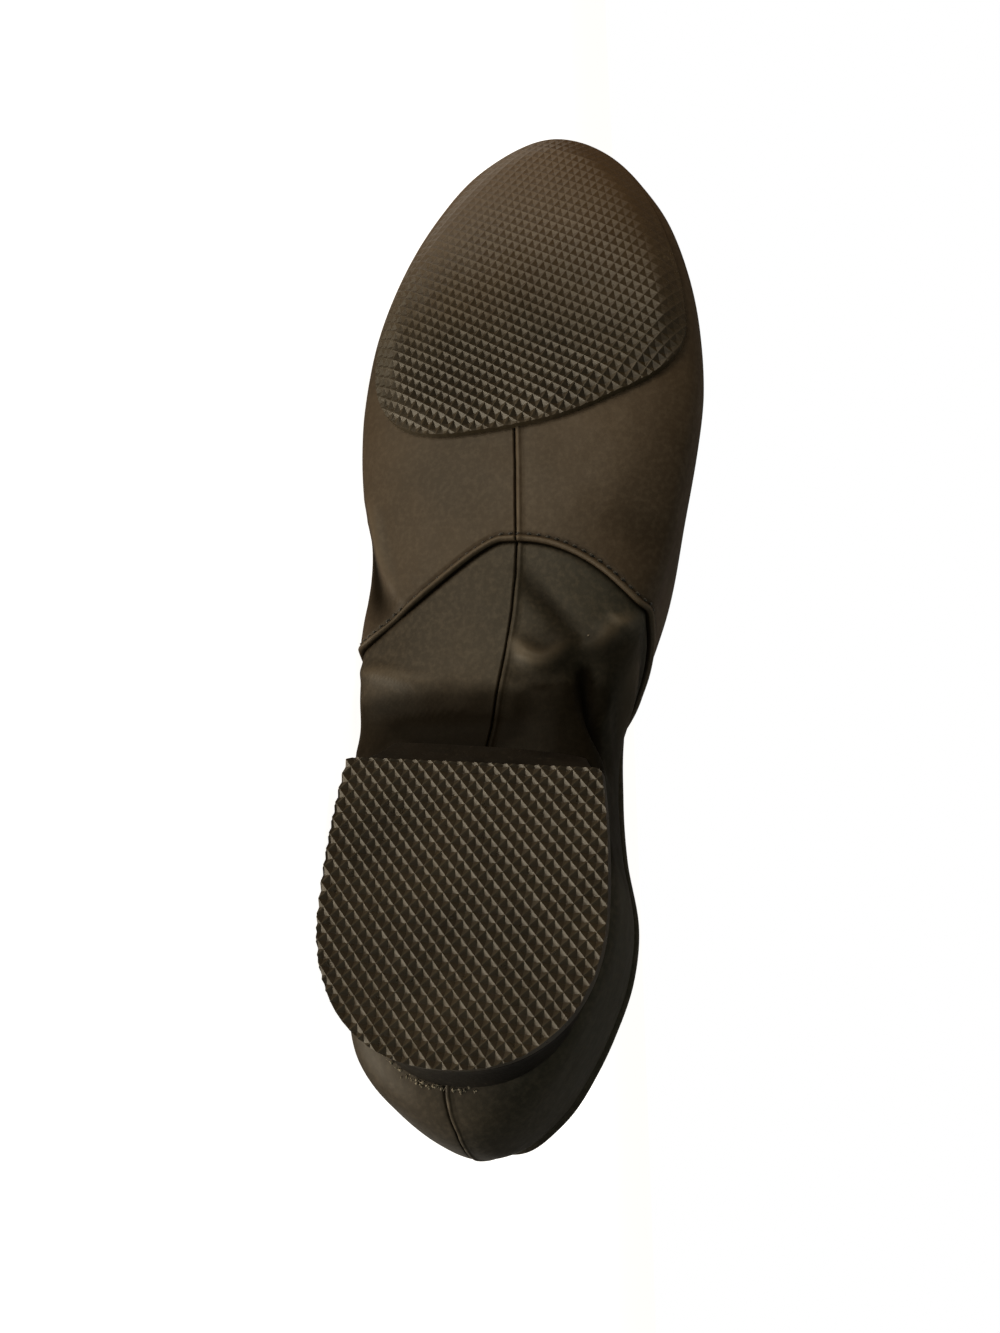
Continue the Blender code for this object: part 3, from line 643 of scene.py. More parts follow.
def mixed(tree, factor, a, b):
    """Mix two colours, each a plain colour or a socket."""
    made = tree.nodes.new("ShaderNodeMix")
    made.data_type = "RGBA"
    for socket, value in ((made.inputs[0], factor), (made.inputs[6], a), (made.inputs[7], b)):
        if isinstance(value, bpy.types.NodeSocket):
            tree.links.new(value, socket)
        elif isinstance(value, (int, float)):
            socket.default_value = value
        else:
            socket.default_value = (*value, 1.0)
    return made.outputs[2]


def tinted(tree, colour, amount, share, tint):
    """Mix a tint into a colour, by a share of an amount that varies over the surface."""
    return mixed(tree, math(tree, "MULTIPLY", amount, share), colour, tint)


def patches(tree, place, size, detail, *limits):
    """Give noise of a size, its range from low to high stretched to 0 to 1 or to two further limits."""
    return ranged(tree, noise(tree, place, size, detail), *limits)


def bumped(tree, height, strength, distance, under=None):
    made = node(tree, "ShaderNodeBump", Height=height)
    made.inputs["Strength"].default_value = strength
    made.inputs["Distance"].default_value = distance
    if under is not None:
        tree.links.new(under, made.inputs["Normal"])
    return made.outputs["Normal"]


def attribute(tree, name):
    made = tree.nodes.new("ShaderNodeAttribute")
    made.attribute_name = name
    return made.outputs["Fac"]


def axis_of(tree, place, axis):
    split = node(tree, "ShaderNodeSeparateXYZ", Vector=place)
    return split.outputs[axis]


# A pale tint: for fine specks of wear, and for the ridges, where it is partly wear and partly painted
# highlight.
PALE_WEAR_AND_HIGHLIGHT = (0.100, 0.080, 0.058)


def make_leather(name, brown, dark, shade_tint=None):
    """Soft used leather: a fine grain, mottled brown black, with painted shade in the folds, seams and arch,
    and ridges painted pale, partly as wear and partly as painted highlight.
    """
    material, tree, shader = new_material(name, 0.52, coat=0.02, specular=0.24)
    place = place_of(tree)
    cloud = patches(tree, place, 0.030, 3.0, 0.35, 0.68)
    colour = mixed(tree, cloud, dark, brown)
    toe = ranged(tree, axis_of(tree, place, "X"), 0.195, 0.252)
    colour = tinted(tree, colour, toe, 0.75, (0.066, 0.035, 0.011))
    # On the rear panel's inner side a cool dark tint is painted shade.
    if shade_tint:
        side = ranged(tree, axis_of(tree, place, "Y"), -0.012, 0.020)
        colour = tinted(tree, colour, side, 0.70, shade_tint)
    colour = tinted(tree, colour, patches(tree, place, 0.0012, 2.0, 0.42, 0.72), 0.16, PALE_WEAR_AND_HIGHLIGHT)
    # The raised parts are painted pale: partly wear, partly painted highlight.
    pale_ridges = ranged(tree, attribute(tree, "raised"), 0.15, 1.0)
    colour = tinted(tree, colour, pale_ridges, 0.50, PALE_WEAR_AND_HIGHLIGHT)
    # Painted shade: near black colour and little shine in the folds, the seams, the stitch groove, under the
    # rolled edge and in the arch's hollow.
    painted_shade = ranged(tree, attribute(tree, "painted_shade"), 0.05, 1.0)
    colour = tinted(tree, colour, painted_shade, 0.92, (0.0035, 0.0025, 0.0013))
    tree.links.new(colour, shader.inputs["Base Color"])
    tree.links.new(ranged(tree, painted_shade, 0.0, 1.0, 0.24, 0.02), shader.inputs["Specular IOR Level"])
    rough = patches(tree, place, 0.010, 4.0, 0.3, 0.7, 0.46, 0.60)
    tree.links.new(rough, shader.inputs["Roughness"])
    grain = node(tree, "ShaderNodeTexVoronoi", Vector=place, Scale=1 / 0.0007).outputs["Distance"]
    fine = noise(tree, place, 0.0005, 3.0)
    both = math(tree, "ADD", math(tree, "MULTIPLY", grain, 0.6), fine)
    normal = bumped(tree, both, 0.10, 0.0002)
    slack = noise(tree, place, 0.007, 2.0)
    normal = bumped(tree, slack, 0.22, 0.0012, normal)
    tree.links.new(normal, shader.inputs["Normal"])
    return material


def make_tread_rubber():
    """Glossy ridged rubber: a little paler on the ridges, dusty in specks, browner towards the toe."""
    material, tree, shader = new_material("tread_rubber_look", 0.28, specular=0.80)
    place = place_of(tree)
    cloud = patches(tree, place, 0.018, 3.0, 0.35, 0.7)
    colour = mixed(tree, cloud, (0.0175, 0.0130, 0.0072), (0.0270, 0.0200, 0.0112))
    toe = ranged(tree, axis_of(tree, place, "X"), 0.180, 0.246)
    colour = tinted(tree, colour, toe, 0.85, (0.056, 0.030, 0.009))
    tip = ranged(tree, attribute(tree, "tip"), 0.45, 1.0)
    rubbed = math(tree, "MULTIPLY", tip, patches(tree, place, 0.006, 3.0, 0.25, 0.60, 0.45, 1.0))
    colour = tinted(tree, colour, rubbed, 0.14, (0.085, 0.072, 0.050))
    dust = patches(tree, place, 0.0009, 2.0, 0.62, 0.80)
    colour = tinted(tree, colour, dust, 0.15, (0.13, 0.11, 0.080))
    tree.links.new(colour, shader.inputs["Base Color"])
    rough = patches(tree, place, 0.003, 3.0, 0.3, 0.7, 0.27, 0.38)
    tree.links.new(rough, shader.inputs["Roughness"])
    tree.links.new(bumped(tree, noise(tree, place, 0.0006, 3.0), 0.08, 0.0002), shader.inputs["Normal"])
    return material


def make_heel_rubber():
    """Dull black foam rubber with a fine ground texture on its sides."""
    material, tree, shader = new_material("heel_rubber_look", 0.62, specular=0.20)
    place = place_of(tree)
    cloud = patches(tree, place, 0.012, 4.0, 0.35, 0.7)
    colour = mixed(tree, cloud, (0.0050, 0.0040, 0.0030), (0.0115, 0.0092, 0.0068))
    scuff = patches(tree, place, 0.0015, 3.0, 0.62, 0.80)
    colour = tinted(tree, colour, scuff, 0.30, (0.07, 0.060, 0.047))
    tree.links.new(colour, shader.inputs["Base Color"])
    rough = patches(tree, place, 0.004, 3.0, 0.3, 0.7, 0.50, 0.72)
    tree.links.new(rough, shader.inputs["Roughness"])
    tree.links.new(bumped(tree, noise(tree, place, 0.0008, 3.0), 0.30, 0.0003), shader.inputs["Normal"])
    return material


def bands(tree, place, scale, distortion, direction="X"):
    """Give even bands across one direction."""
    return node(
        tree, "ShaderNodeTexWave", Vector=place, Scale=scale, Distortion=distortion,
        bands_direction=direction,
    ).outputs["Fac"]


def make_thread(name, colour):
    material, tree, shader = new_material(name, 0.75, sheen=0.2, specular=0.3)
    place = place_of(tree)
    twist = bands(tree, place, 1400.0, 1.5)
    tint = mixed(tree, twist, tuple(c * 0.5 for c in colour), colour)
    tree.links.new(tint, shader.inputs["Base Color"])
    tree.links.new(bumped(tree, twist, 0.5, 0.0001), shader.inputs["Normal"])
    return material


def make_cloth(name, colour, pale):
    """Fine woven lining cloth."""
    material, tree, shader = new_material(name, 0.88, sheen=0.25, specular=0.2)
    place = place_of(tree)
    weave = math(tree, "MULTIPLY", bands(tree, place, 900.0, 0.6), bands(tree, place, 900.0, 0.6, "Y"))
    tint = mixed(tree, patches(tree, place, 0.015, 4.0, 0.3, 0.7), colour, pale)
    tint = tinted(tree, tint, weave, 0.4, tuple(c * 1.6 for c in pale))
    tree.links.new(tint, shader.inputs["Base Color"])
    tree.links.new(bumped(tree, weave, 0.35, 0.0002), shader.inputs["Normal"])
    return material


def make_plain(name, colour, roughness):
    material, tree, shader = new_material(name, roughness)
    place = place_of(tree)
    cloud = noise(tree, place, 0.0004, 2.0)
    tree.links.new(mixed(tree, cloud, tuple(c * 0.5 for c in colour), colour), shader.inputs["Base Color"])
    return material


# The upper

def across_shares():
    """Space the columns round the foot, close together at the middle seam and along the top."""
    half = spread(0.0, 0.5, 136, [(0.0, 0.010, 11.0), (0.5, 0.012, 2.0)])
    return np.concatenate([-half[::-1], half[1:]])[:-1]


def bases_between(low, high, count, dense):
    """Space the rings' bases evenly in turn, which draws them together at heel and toe."""
    turns = spread(turn_of(low / LENGTH), turn_of(high / LENGTH), count, dense)
    return LENGTH * (1 - np.cos(turns)) / 2


def lying(points, folds):
    """Give the leather's shape without its seams, as a lift off the form."""
    lift = folded(points, folds) + folded(points, TOP_FOLDS)
    x = points[..., 0]
    calm = 0.35 + 0.65 * ease((0.150 - x) / 0.03)
    lift += 0.00016 * waves(points, 0.030, 5) * calm
    return lift


def shaped(points, normals, lift):
    return points + normals * lift[..., None]


def columns_of(lift):
    """Say from the folds' lift how far the leather is raised and how far it is pressed in, each from 0 to 1:
    the first paints the ridges pale, partly as wear and partly as painted highlight, the second paints shade
    in the folds.
    """
    raised = np.clip(lift / 0.0016, 0, 1)
    painted_shade = np.clip(-lift / 0.0022, 0, 1)
    return raised, painted_shade


# Where the skins start at the heel and end at the toe, just short of the form's ends
HEEL_POLE = 0.000004
TOE_POLE = LENGTH * 0.999999
LINING_END = LENGTH * 0.9985
# How far the rear panel runs under the front one
TUCKED_UNDER = 0.0035
REAR_RINGS = 215
FRONT_RINGS = 240
LINING_RINGS = 130
LINING_COLUMNS = 120


def upper_pieces(leather_front, leather_rear, lining):
    """Make the rear panel, the front panel and the lining."""
    across = across_shares()
    theta = turn_of(SEAM_APEX / LENGTH)
    seam_curve = skin(np.array([SEAM_APEX]), FINE)

    # The rear panel runs a little under the front one
    dense = [(theta - 0.004, 0.030, 4.5), (0.06, 0.14, 0.8)]
    bases = bases_between(HEEL_POLE, SEAM_APEX + TUCKED_UNDER, REAR_RINGS, dense)
    points = rings(bases, across)
    normals = grid_normals(points)
    lift = lying(points, REAR_FOLDS)
    gap = distance_off(points, seam_curve, bases)
    raised, painted_shade = columns_of(lift)
    lift = lift - PANEL_STEP + seams(points) + seam_profile(-gap, TUCKED_PROFILE)
    raised = np.maximum(raised, seam_ridges_worn_and_lit(points))
    # A painted shade line where the rear panel runs under the front one's rolled edge.
    painted_shade = np.maximum(painted_shade, 0.9 * bell(np.maximum(-gap, 0), 0.0006))
    painted_shade = np.maximum(np.maximum(painted_shade, dark_lines(points)), arch_shade(points))
    sheet(points, normals, lift, raised, painted_shade, "upper_rear", leather_rear, pole=0)

    # The front panel ends in a rolled edge over the rear one
    bases = bases_between(SEAM_APEX, TOE_POLE, FRONT_RINGS, [(theta, 0.030, 6.0)])
    points = rings(bases, across)
    normals = grid_normals(points)
    lift = lying(points, FRONT_FOLDS)
    soft = lift.copy()
    gap = distance_off(points, seam_curve, bases)
    lift = lift + seams(points) + seam_profile(np.abs(gap), ROLLED_PROFILE)
    raised, painted_shade = columns_of(soft)
    # The bead's top is painted pale: partly wear, partly painted highlight.
    bead = bell(np.abs(gap) - 0.0006, 0.0005)
    raised = np.maximum(np.maximum(raised, 0.7 * bead), seam_ridges_worn_and_lit(points))
    # Painted shade along the stitch groove.
    stitch_line = bell(np.abs(gap) - 0.00155, 0.00025)
    painted_shade = np.maximum(np.maximum(painted_shade, 0.55 * stitch_line), dark_lines(points))
    # The rolled edge's own thickness: rows under its first ring, each with its depth and how much painted
    # shade it has
    under = [(-0.0016, 1.0), (-0.0011, 1.0), (-0.0006, 0.9), (-0.0002, 0.4)]
    points = np.concatenate([np.repeat(points[:1], len(under), axis=0), points])
    normals = np.concatenate([np.repeat(normals[:1], len(under), axis=0), normals])
    first = np.array([soft[0] + depth for depth, dark in under])
    lift = np.concatenate([first, lift])
    raised = np.concatenate([np.repeat(raised[:1] * 0, len(under), axis=0), raised])
    painted_shade = np.concatenate([np.stack([np.full(len(across), dark) for depth, dark in under]), painted_shade])
    sheet(points, normals, lift, raised, painted_shade, "upper_front", leather_front, pole=-1)

    # The lining inside
    plain = np.linspace(-0.5, 0.5, LINING_COLUMNS + 1)[:-1]
    points = rings(bases_between(HEEL_POLE, LINING_END, LINING_RINGS, []), plain)
    normals = grid_normals(points)
    lift = lying(points, REAR_FOLDS + FRONT_FOLDS) - PANEL_STEP - WALL
    blank = np.zeros(lift.shape)
    sheet(points, normals, lift, blank, blank, "lining", lining, pole=0, flip=True)


def distance_off(points, curve, bases):
    """Give the distance to the cross seam, positive on the toe side, in metres."""
    gap = np.full(points.shape[:-1], 0.05)
    near = np.abs(bases - SEAM_APEX) < 0.012
    flat = points[near].reshape(-1, 3)
    best = np.full(len(flat), np.inf)
    for start in range(0, len(curve), 2):
        a = curve[start]
        b = curve[min(start + 2, len(curve) - 1)]
        if (b - a) @ (b - a) < 1e-14:
            continue
        best = np.minimum(best, near_piece(flat, a, b)[0])
    gap[near] = best.reshape(points[near].shape[:-1])
    side = np.where(bases >= SEAM_APEX, 1.0, -1.0)[:, None]
    return gap * side


def dark_lines(points):
    """Say where dirt and shade gather in the middle seam and the back seam."""
    x, middle, back, below = across_seams(points)
    line = np.where(below & (x > MIDDLE_SEAM_FROM) & (x < 0.175), bell(middle, 0.00022), 0.0)
    return np.maximum(line, np.where(x < BACK_SEAM_TO, 0.9 * bell(back, 0.0003), 0.0))


def seam_ridges_worn_and_lit(points):
    """Say where the ridges beside the middle seam and the back seam are painted pale, in short lengths:
    partly rubbed wear, partly painted highlight.
    """
    x, middle, back, below = across_seams(points)
    patchy = 0.75 + 0.5 * waves(points, 0.004, 11)
    line = np.where(below & (x > 0.082) & (x < MIDDLE_SEAM_TO), bell(middle - 0.0006, 0.00036), 0.0)
    stitched = 0.5 + 0.5 * np.sin(points[..., 2] * 2 * pi / 0.0021)
    rear = np.where(x < BACK_SEAM_TO, bell(back - 0.00055, 0.00030), 0.0)
    line = line * (0.35 + 0.65 * ease((x - 0.124) / 0.006))
    return np.clip(np.maximum(line * 0.9 * patchy, rear * (0.45 + 0.9 * stitched) * patchy), 0, 1.3)


def arch_shade(points):
    """Say how much painted shade lies in the hollow of the arch, in front of the heel, and along the rear
    panel's inner side.
    """
    x, y, z = points[..., 0], points[..., 1], points[..., 2]
    near = ease((0.0985 - x) / 0.005) * ease((x - 0.055) / 0.01) * ease((0.024 - z) / 0.006)
    side = ease((y - 0.001) / 0.010) * ease((0.114 - x) / 0.008) * ease((x - 0.05) / 0.015)
    return np.clip(0.92 * near + 0.70 * side, 0, 0.97) * (0.94 + 0.1 * waves(points, 0.012, 9))


def sheet(points, normals, lift, raised, painted_shade, name, material, pole, flip=False):
    """Build one panel of the upper as a sheet, cut off along the collar and closed at one ring, the pole."""
    placed = shaped(points, normals, lift)
    rows, columns = placed.shape[:2]
    data = np.concatenate([placed, raised[..., None], painted_shade[..., None]], axis=-1).reshape(-1, 5)
    faces = grid_faces(rows, columns, flip=flip)
    tip = np.concatenate([placed[pole].mean(axis=0), [0.0, 0.0]])
    data = np.vstack([data, tip])
    last = len(data) - 1
    start = 0 if pole == 0 else (rows - 1) * columns
    for c in range(columns):
        n = (c + 1) % columns
        face = (start + n, start + c, last, last) if pole == 0 else (start + c, start + n, last, last)
        faces.append(face)
    keep = topline_height(data[:, 0]) - data[:, 2]
    data, loops = clip_any(data, faces, keep)
    make_piece(name, data, loops, ("raised", "painted_shade"), material)


def tube(name, path, normals, wide, thick, flat, material):
    """Lay a tube along a closed path, wide along the surface and thick across it."""
    count, sides = len(path), 14
    tangent = np.roll(path, -1, axis=0) - np.roll(path, 1, axis=0)
    tangent = unit(tangent)
    normal = unit(normals - (normals * tangent).sum(axis=1, keepdims=True) * tangent)
    side = np.cross(tangent, normal)
    turns = np.arange(sides) * 2 * pi / sides
    c, s = np.cos(turns), np.sin(turns)
    c = np.sign(c) * np.abs(c) ** (2 / flat)
    s = np.sign(s) * np.abs(s) ** (2 / flat)
    ring = path[:, None] + side[:, None] * (c * wide / 2)[None, :, None]
    ring = ring + normal[:, None] * (s * thick / 2)[None, :, None]
    data = np.concatenate([ring, np.zeros((count, sides, 2))], axis=-1).reshape(-1, 5)
    faces = []
    for r in range(count):
        q = (r + 1) % count
        for k in range(sides):
            n = (k + 1) % sides
            faces.append([r * sides + k, r * sides + n, q * sides + n, q * sides + k])
    return make_piece(name, data, faces, ("raised", "painted_shade"), material)


def stitches(name, path, normals, pitch, length, thick, material):
    """Sew short threads along a path of skin points."""
    along = lengths_along(path)
    centres = np.arange(pitch / 2, along[-1], pitch)
    rng = np.random.default_rng(17)
    rows, sides = 7, 6
    data, faces = [], []
    for centre in centres:
        start = centre - length / 2 + rng.normal() * 0.04 * pitch
        at = np.linspace(start, start + length, rows)
        middle = at_lengths(at, along, path)
        up = unit(at_lengths(at, along, normals))
        tangent = np.gradient(middle, axis=0)
        tangent /= np.maximum(np.linalg.norm(tangent, axis=1, keepdims=True), 1e-12)
        side = np.cross(tangent, up)
        arch = np.sin(pi * np.linspace(0, 1, rows))
        middle = middle + up * ((arch - 1.0) * thick * 0.8)[:, None]
        swell = thick / 2 * (0.55 + 0.45 * arch)
        first = len(data)
        for k in range(rows):
            for j in range(sides):
                a = 2 * pi * j / sides
                data.append(middle[k] + side[k] * cos(a) * swell[k] + up[k] * sin(a) * swell[k])
        for k in range(rows - 1):
            for j in range(sides):
                n = (j + 1) % sides
                a, b = first + k * sides, first + (k + 1) * sides
                faces.append([a + j, a + n, b + n, b + j])
        faces.append([first + j for j in range(sides)][::-1])
        faces.append([first + (rows - 1) * sides + j for j in range(sides)])
    return make_piece(name, np.array(data), faces, (), material)


# Specks of dust, in millimetres, each with its size
DUST = [(14.2, -3.4, 14.6, 0.50), (107.6, 17.6, 14.0, 0.42)]
CRUMBS = 90
# The points of the seat's outline that lie round its back
SEAT_BACK_POINTS = slice(16, 66)


def make_crumbs(material):
    """Crumbs of dried glue along the back of the heel's seat, and a few specks of dust."""
    rng = np.random.default_rng(23)
    seat = seat_outline()[SEAT_BACK_POINTS]
    seat = seat[np.argsort(seat[:, 1])]
    seat = seat[seat[:, 1] < HEEL_MIDDLE + 0.003]
    line = np.column_stack([seat, off_skin(seat[:, 0], seat[:, 1], PANEL_STEP)])
    along = lengths_along(line)
    spots = []
    for _ in range(CRUMBS):
        share = rng.uniform(0, 1) ** 0.6
        at = at_lengths(share * along[-1], along, line)
        at += rng.normal(size=3) * (0.0003, 0.0003, 0.0003) + (-0.0005, -0.0002, 0.0002)
        spots.append((at, abs(rng.normal()) * 0.00014 + 0.00010))
    for x, y, z, size in DUST:
        spots.append((np.array((x, y, z)) * MM, size * MM / 2))
    data, faces = [], []
    corners = np.array([(1, 0, 0), (-1, 0, 0), (0, 1, 0), (0, -1, 0), (0, 0, 1), (0, 0, -1)], float)
    sides = [(0, 2, 4), (2, 1, 4), (1, 3, 4), (3, 0, 4), (2, 0, 5), (1, 2, 5), (3, 1, 5), (0, 3, 5)]
    for at, size in spots:
        nearest = on_skin(at)
        first = len(data)
        stretch = rng.uniform(0.5, 1.6, size=3)
        for corner in corners:
            data.append(nearest + corner * size * stretch + rng.normal(size=3) * size * 0.2)
        faces += [[first + k for k in side] for side in sides]
    return make_piece("glue_crumbs", np.array(data), faces, (), material)


def on_skin(at):
    """Move a point on to the upper's surface, square to it."""
    for _ in range(6):
        normal = skin_normal_at(at[None, :])[0]
        ahead = level((at + normal * 0.0002)[None, :])[0]
        here = level(at[None, :])[0]
        at = at + normal * np.clip((1.0 - here) / max(ahead - here, 1e-9), -8, 8) * 0.0002
    return at - skin_normal_at(at[None, :])[0] * PANEL_STEP


# The treads

# The treads' relief: thin ridges that cross, with a four-sided hollow between them. Each ring of a hollow,
# from its middle out, is given as its reach in shares of half the pitch and its share of the depth
HOLLOW = [(0.06, 1.0), (0.50, 0.56), (0.92, 0.08), (0.97, 0.02)]
LATTICE_PITCH = 0.0023
CORNER_CUT = 0.03
# Each tread's depth, and how many degrees its lattice lies from the inner side, seen from below
FOREFOOT_DEPTH = 0.00088
FOREFOOT_LATTICE = 57
HEEL_DEPTH = 0.00095
HEEL_LATTICE = 41


def lattice(outline, degrees):
    """Lay square hollows over an outline: points, each one's share of the depth and nearness to a ridge."""
    angle = pi * (90 - degrees) / 180
    pitch = LATTICE_PITCH
    c, s = cos(angle), sin(angle)
    turn = np.array(((c, s), (-s, c)))
    low = (outline @ turn.T).min(0) - 2 * pitch
    high = (outline @ turn.T).max(0) + 2 * pitch
    ni, nj = (np.ceil((high - low) / pitch)).astype(int)
    points, drop, tip, faces = [], [], [], []
    for i in range(ni + 1):
        for j in range(nj + 1):
            points.append(low + np.array((i, j)) * pitch)
            drop.append(0.0)
            tip.append(1.0)
    near = 1 - CORNER_CUT
    square = pitch / 2 * np.array([
        (1, -near), (1, near), (near, 1), (-near, 1), (-1, near), (-1, -near), (-near, -1), (near, -1),
    ])
    rng = np.random.default_rng(3)
    for i in range(ni):
        for j in range(nj):
            centre = low + np.array((i + 0.5, j + 0.5)) * pitch
            lean = rng.normal(size=2) * 0.012 * pitch
            wear = abs(rng.normal()) * 0.06
            first = len(points)
            for reach, height in HOLLOW:
                for at in square * reach:
                    points.append(centre + at + lean * (1 - reach))
                    drop.append(height * (1 - wear))
                    tip.append(max(0.0, (reach - 0.70) / 0.30))
            faces.append([first + k for k in range(8)])
            for q in range(len(HOLLOW) - 1):
                for k in range(8):
                    n = (k + 1) % 8
                    a, b = first + q * 8, first + (q + 1) * 8
                    faces.append([a + k, b + k, b + n, a + n])
            last = first + (len(HOLLOW) - 1) * 8
            corners = [
                (i + 1) * (nj + 1) + j, (i + 1) * (nj + 1) + j + 1, i * (nj + 1) + j + 1, i * (nj + 1) + j,
            ]
            for k in range(4):
                n = (k + 1) % 4
                faces.append([last + 2 * k, corners[k], corners[n], last + 2 * k + 1])
                faces.append([last + 2 * k + 1, corners[n], last + (2 * k + 2) % 8])
    points = np.array(points) @ turn
    return points, np.array(drop), np.array(tip), faces


def inside_distance(points, outline):
    """Give the distance to a closed outline, positive inside."""
    best = np.full(len(points), np.inf)
    crossings = np.zeros(len(points), int)
    for p, q in zip(outline, np.roll(outline, -1, axis=0)):
        best = np.minimum(best, near_piece(points, p, q)[0])
        if p[1] != q[1]:
            between = (points[:, 1] > min(p[1], q[1])) & (points[:, 1] <= max(p[1], q[1]))
            at = p[0] + (points[:, 1] - p[1]) / (q[1] - p[1]) * (q - p)[0]
            crossings += between & (at > points[:, 0])
    return np.where(crossings % 2 == 1, best, -best)


def clip_any(data, faces, keep):
    """Cut a mesh of mixed faces along the line where keep is 0, and leave the positive side."""
    longest = max(len(face) for face in faces)
    padded = [list(face) + [face[-1]] * (longest - len(face)) for face in faces]
    data, loops = clip(data, np.array(padded), keep)
    loops = [list(dict.fromkeys(loop)) for loop in loops]
    return data, [loop for loop in loops if len(loop) >= 3]


def walled(data, loops, top):
    """Close a tread downwards: carry each edge of its border to the height that top gives."""
    seen = {}
    for loop in loops:
        for a, b in zip(loop, loop[1:] + loop[:1]):
            seen[(a, b)] = seen.get((a, b), 0) + 1
    border = [(a, b) for a, b in seen if (b, a) not in seen]
    data = list(data)
    made = {}
    steps = 3

    def under(v):
        if v not in made:
            start = np.array(data[v])
            end = start.copy()
            end[:3] = top(start[:3])
            end[3:] = 0.0
            made[v] = []
            for k in range(1, steps + 1):
                made[v].append(len(data))
                data.append(start + (end - start) * k / steps)
        return made[v]

    for a, b in border:
        low_a, low_b = [a] + under(a), [b] + under(b)
        for k in range(steps):
            loops.append([low_b[k], low_a[k], low_a[k + 1], low_b[k + 1]])
    return np.array(data), loops


def closed_spline(points, count):
    """Sample a closed smooth curve through the points at even steps of its parameter."""
    n = len(points)
    t = np.arange(count) * n / count
    i = t.astype(int)
    u = (t - i)[:, None]
    p0, p1, p2, p3 = (points[(i + d) % n] for d in (-1, 0, 1, 2))
    return 0.5 * (
        2 * p1 + (p2 - p0) * u
        + (2 * p0 - 5 * p1 + 4 * p2 - p3) * u * u + (3 * p1 - p0 - 3 * p2 + p3) * u ** 3
    )


def make_forefoot_tread(rubber):
    outline = closed_spline(SOLE_OUTLINE * (LENGTH, BALL_WIDTH), 260)
    middle = SOLE_MIDDLE * (LENGTH, BALL_WIDTH)
    points, drop, tip, faces = lattice(outline, FOREFOOT_LATTICE)
    near = inside_distance(points, outline)
    x, y = points.T
    radius = np.linalg.norm(points - middle, axis=1)
    share = radius / np.maximum(radius + near, 1e-6)
    thinned = ease((share - SOLE_THINS_FROM) / (1 - SOLE_THINS_FROM))
    thickness = SOLE_THICKNESS - (SOLE_THICKNESS - SOLE_EDGE) * thinned
    x_safe = np.clip(x, 0.001, LENGTH - 0.001)
    step = 0.0006
    steepest = 1.6

    def face_height(px, py):
        return np.maximum(off_skin(px, py, -GAP) - thickness - SOLE_PRESS, 0.0)

    z = face_height(x_safe, y)
    rise_x = face_height(x_safe + step, y) - face_height(x_safe - step, y)
    rise_y = face_height(x_safe, y + step) - face_height(x_safe, y - step)
    slope_x = np.clip(rise_x / (2 * step), -steepest, steepest)
    slope_y = np.clip(rise_y / (2 * step), -steepest, steepest)
    normal = unit(np.stack([-slope_x, -slope_y, np.ones_like(x)], axis=-1))
    # Towards the toe and the inner side the ridges are worn low, and at the rim the hollows are shallower
    toe_wear = 1 - 0.76 * ease((x - 0.162) / 0.068)
    rim = 0.55 + 0.45 * ease(near / 0.0025)
    side_wear = 1 - 0.40 * ease((y + 0.005) / 0.035) * ease((x - 0.165) / 0.03)
    depth = FOREFOOT_DEPTH * toe_wear * rim * side_wear
    worn_off = FOREFOOT_DEPTH * (1 - toe_wear * side_wear) * 0.4
    placed = np.stack([x, y, z], axis=-1) + normal * (depth * drop + worn_off)[:, None]
    data = np.concatenate([placed, (tip * (0.62 + 0.38 * toe_wear * side_wear))[:, None]], axis=1)
    data, loops = clip_any(data, faces, near)

    def top(p):
        at = np.array([p[0]]), np.array([p[1]])
        return np.array((p[0], p[1], off_skin(*at, 0.0001)[0]))

    data, loops = walled(data, loops, top)
    piece = make_piece("forefoot_tread", data, loops, ("tip",), rubber, smooth_faces=False)
    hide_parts("forefoot_sole")


HEEL_POINTS = 200
BREAST_POINTS = 40


def heel_outline(back, front, middle, width, front_width):
    """Give the heel's outline: a round back, sides that close in a little, and a straight front set askew."""
    count, breast = HEEL_POINTS, BREAST_POINTS
    broad_at = HEEL_BACK + HEEL_BROAD_AT * HEEL_LENGTH
    half = width / 2
    front_half = front_width / 2
    around_back = count // 2
    along_side = (count - around_back - breast) // 2
    turns = pi * np.arange(around_back + 1) / around_back
    x = broad_at - (broad_at - back) * np.abs(np.sin(turns)) ** (2 / HEEL_ROUND)
    y = middle - half * np.sign(np.cos(turns)) * np.abs(np.cos(turns)) ** (2 / HEEL_ROUND)
    points = list(zip(x, y))
    skew = BREAST_SKEW * HEEL_LENGTH

    def side_point(t, hand):
        reach = half - (half - front_half) * t * t
        return broad_at + (front - hand * skew - broad_at) * t, middle + hand * reach

    points += [side_point(k / along_side, 1) for k in range(1, along_side + 1)]
    for k in range(1, breast):
        across = cos(pi * k / breast)
        points.append((front - skew * across, middle + front_half * across))
    points += [side_point(k / along_side, -1) for k in range(along_side, 0, -1)]
    return np.array(points)


def softened(outline):
    """Round a closed outline's corners a little."""
    reach = 0.6
    for _ in range(3):
        beside = np.roll(outline, 1, axis=0) + np.roll(outline, -1, axis=0)
        outline = outline * (1 - reach) + beside * reach / 2
    return outline


def lift_outline():
    """Give the outline of the heel's tread."""
    return softened(heel_outline(
        HEEL_BACK, HEEL_BACK + HEEL_LENGTH, HEEL_MIDDLE, HEEL_WIDTH, HEEL_FRONT_WIDTH * HEEL_WIDTH,
    ))


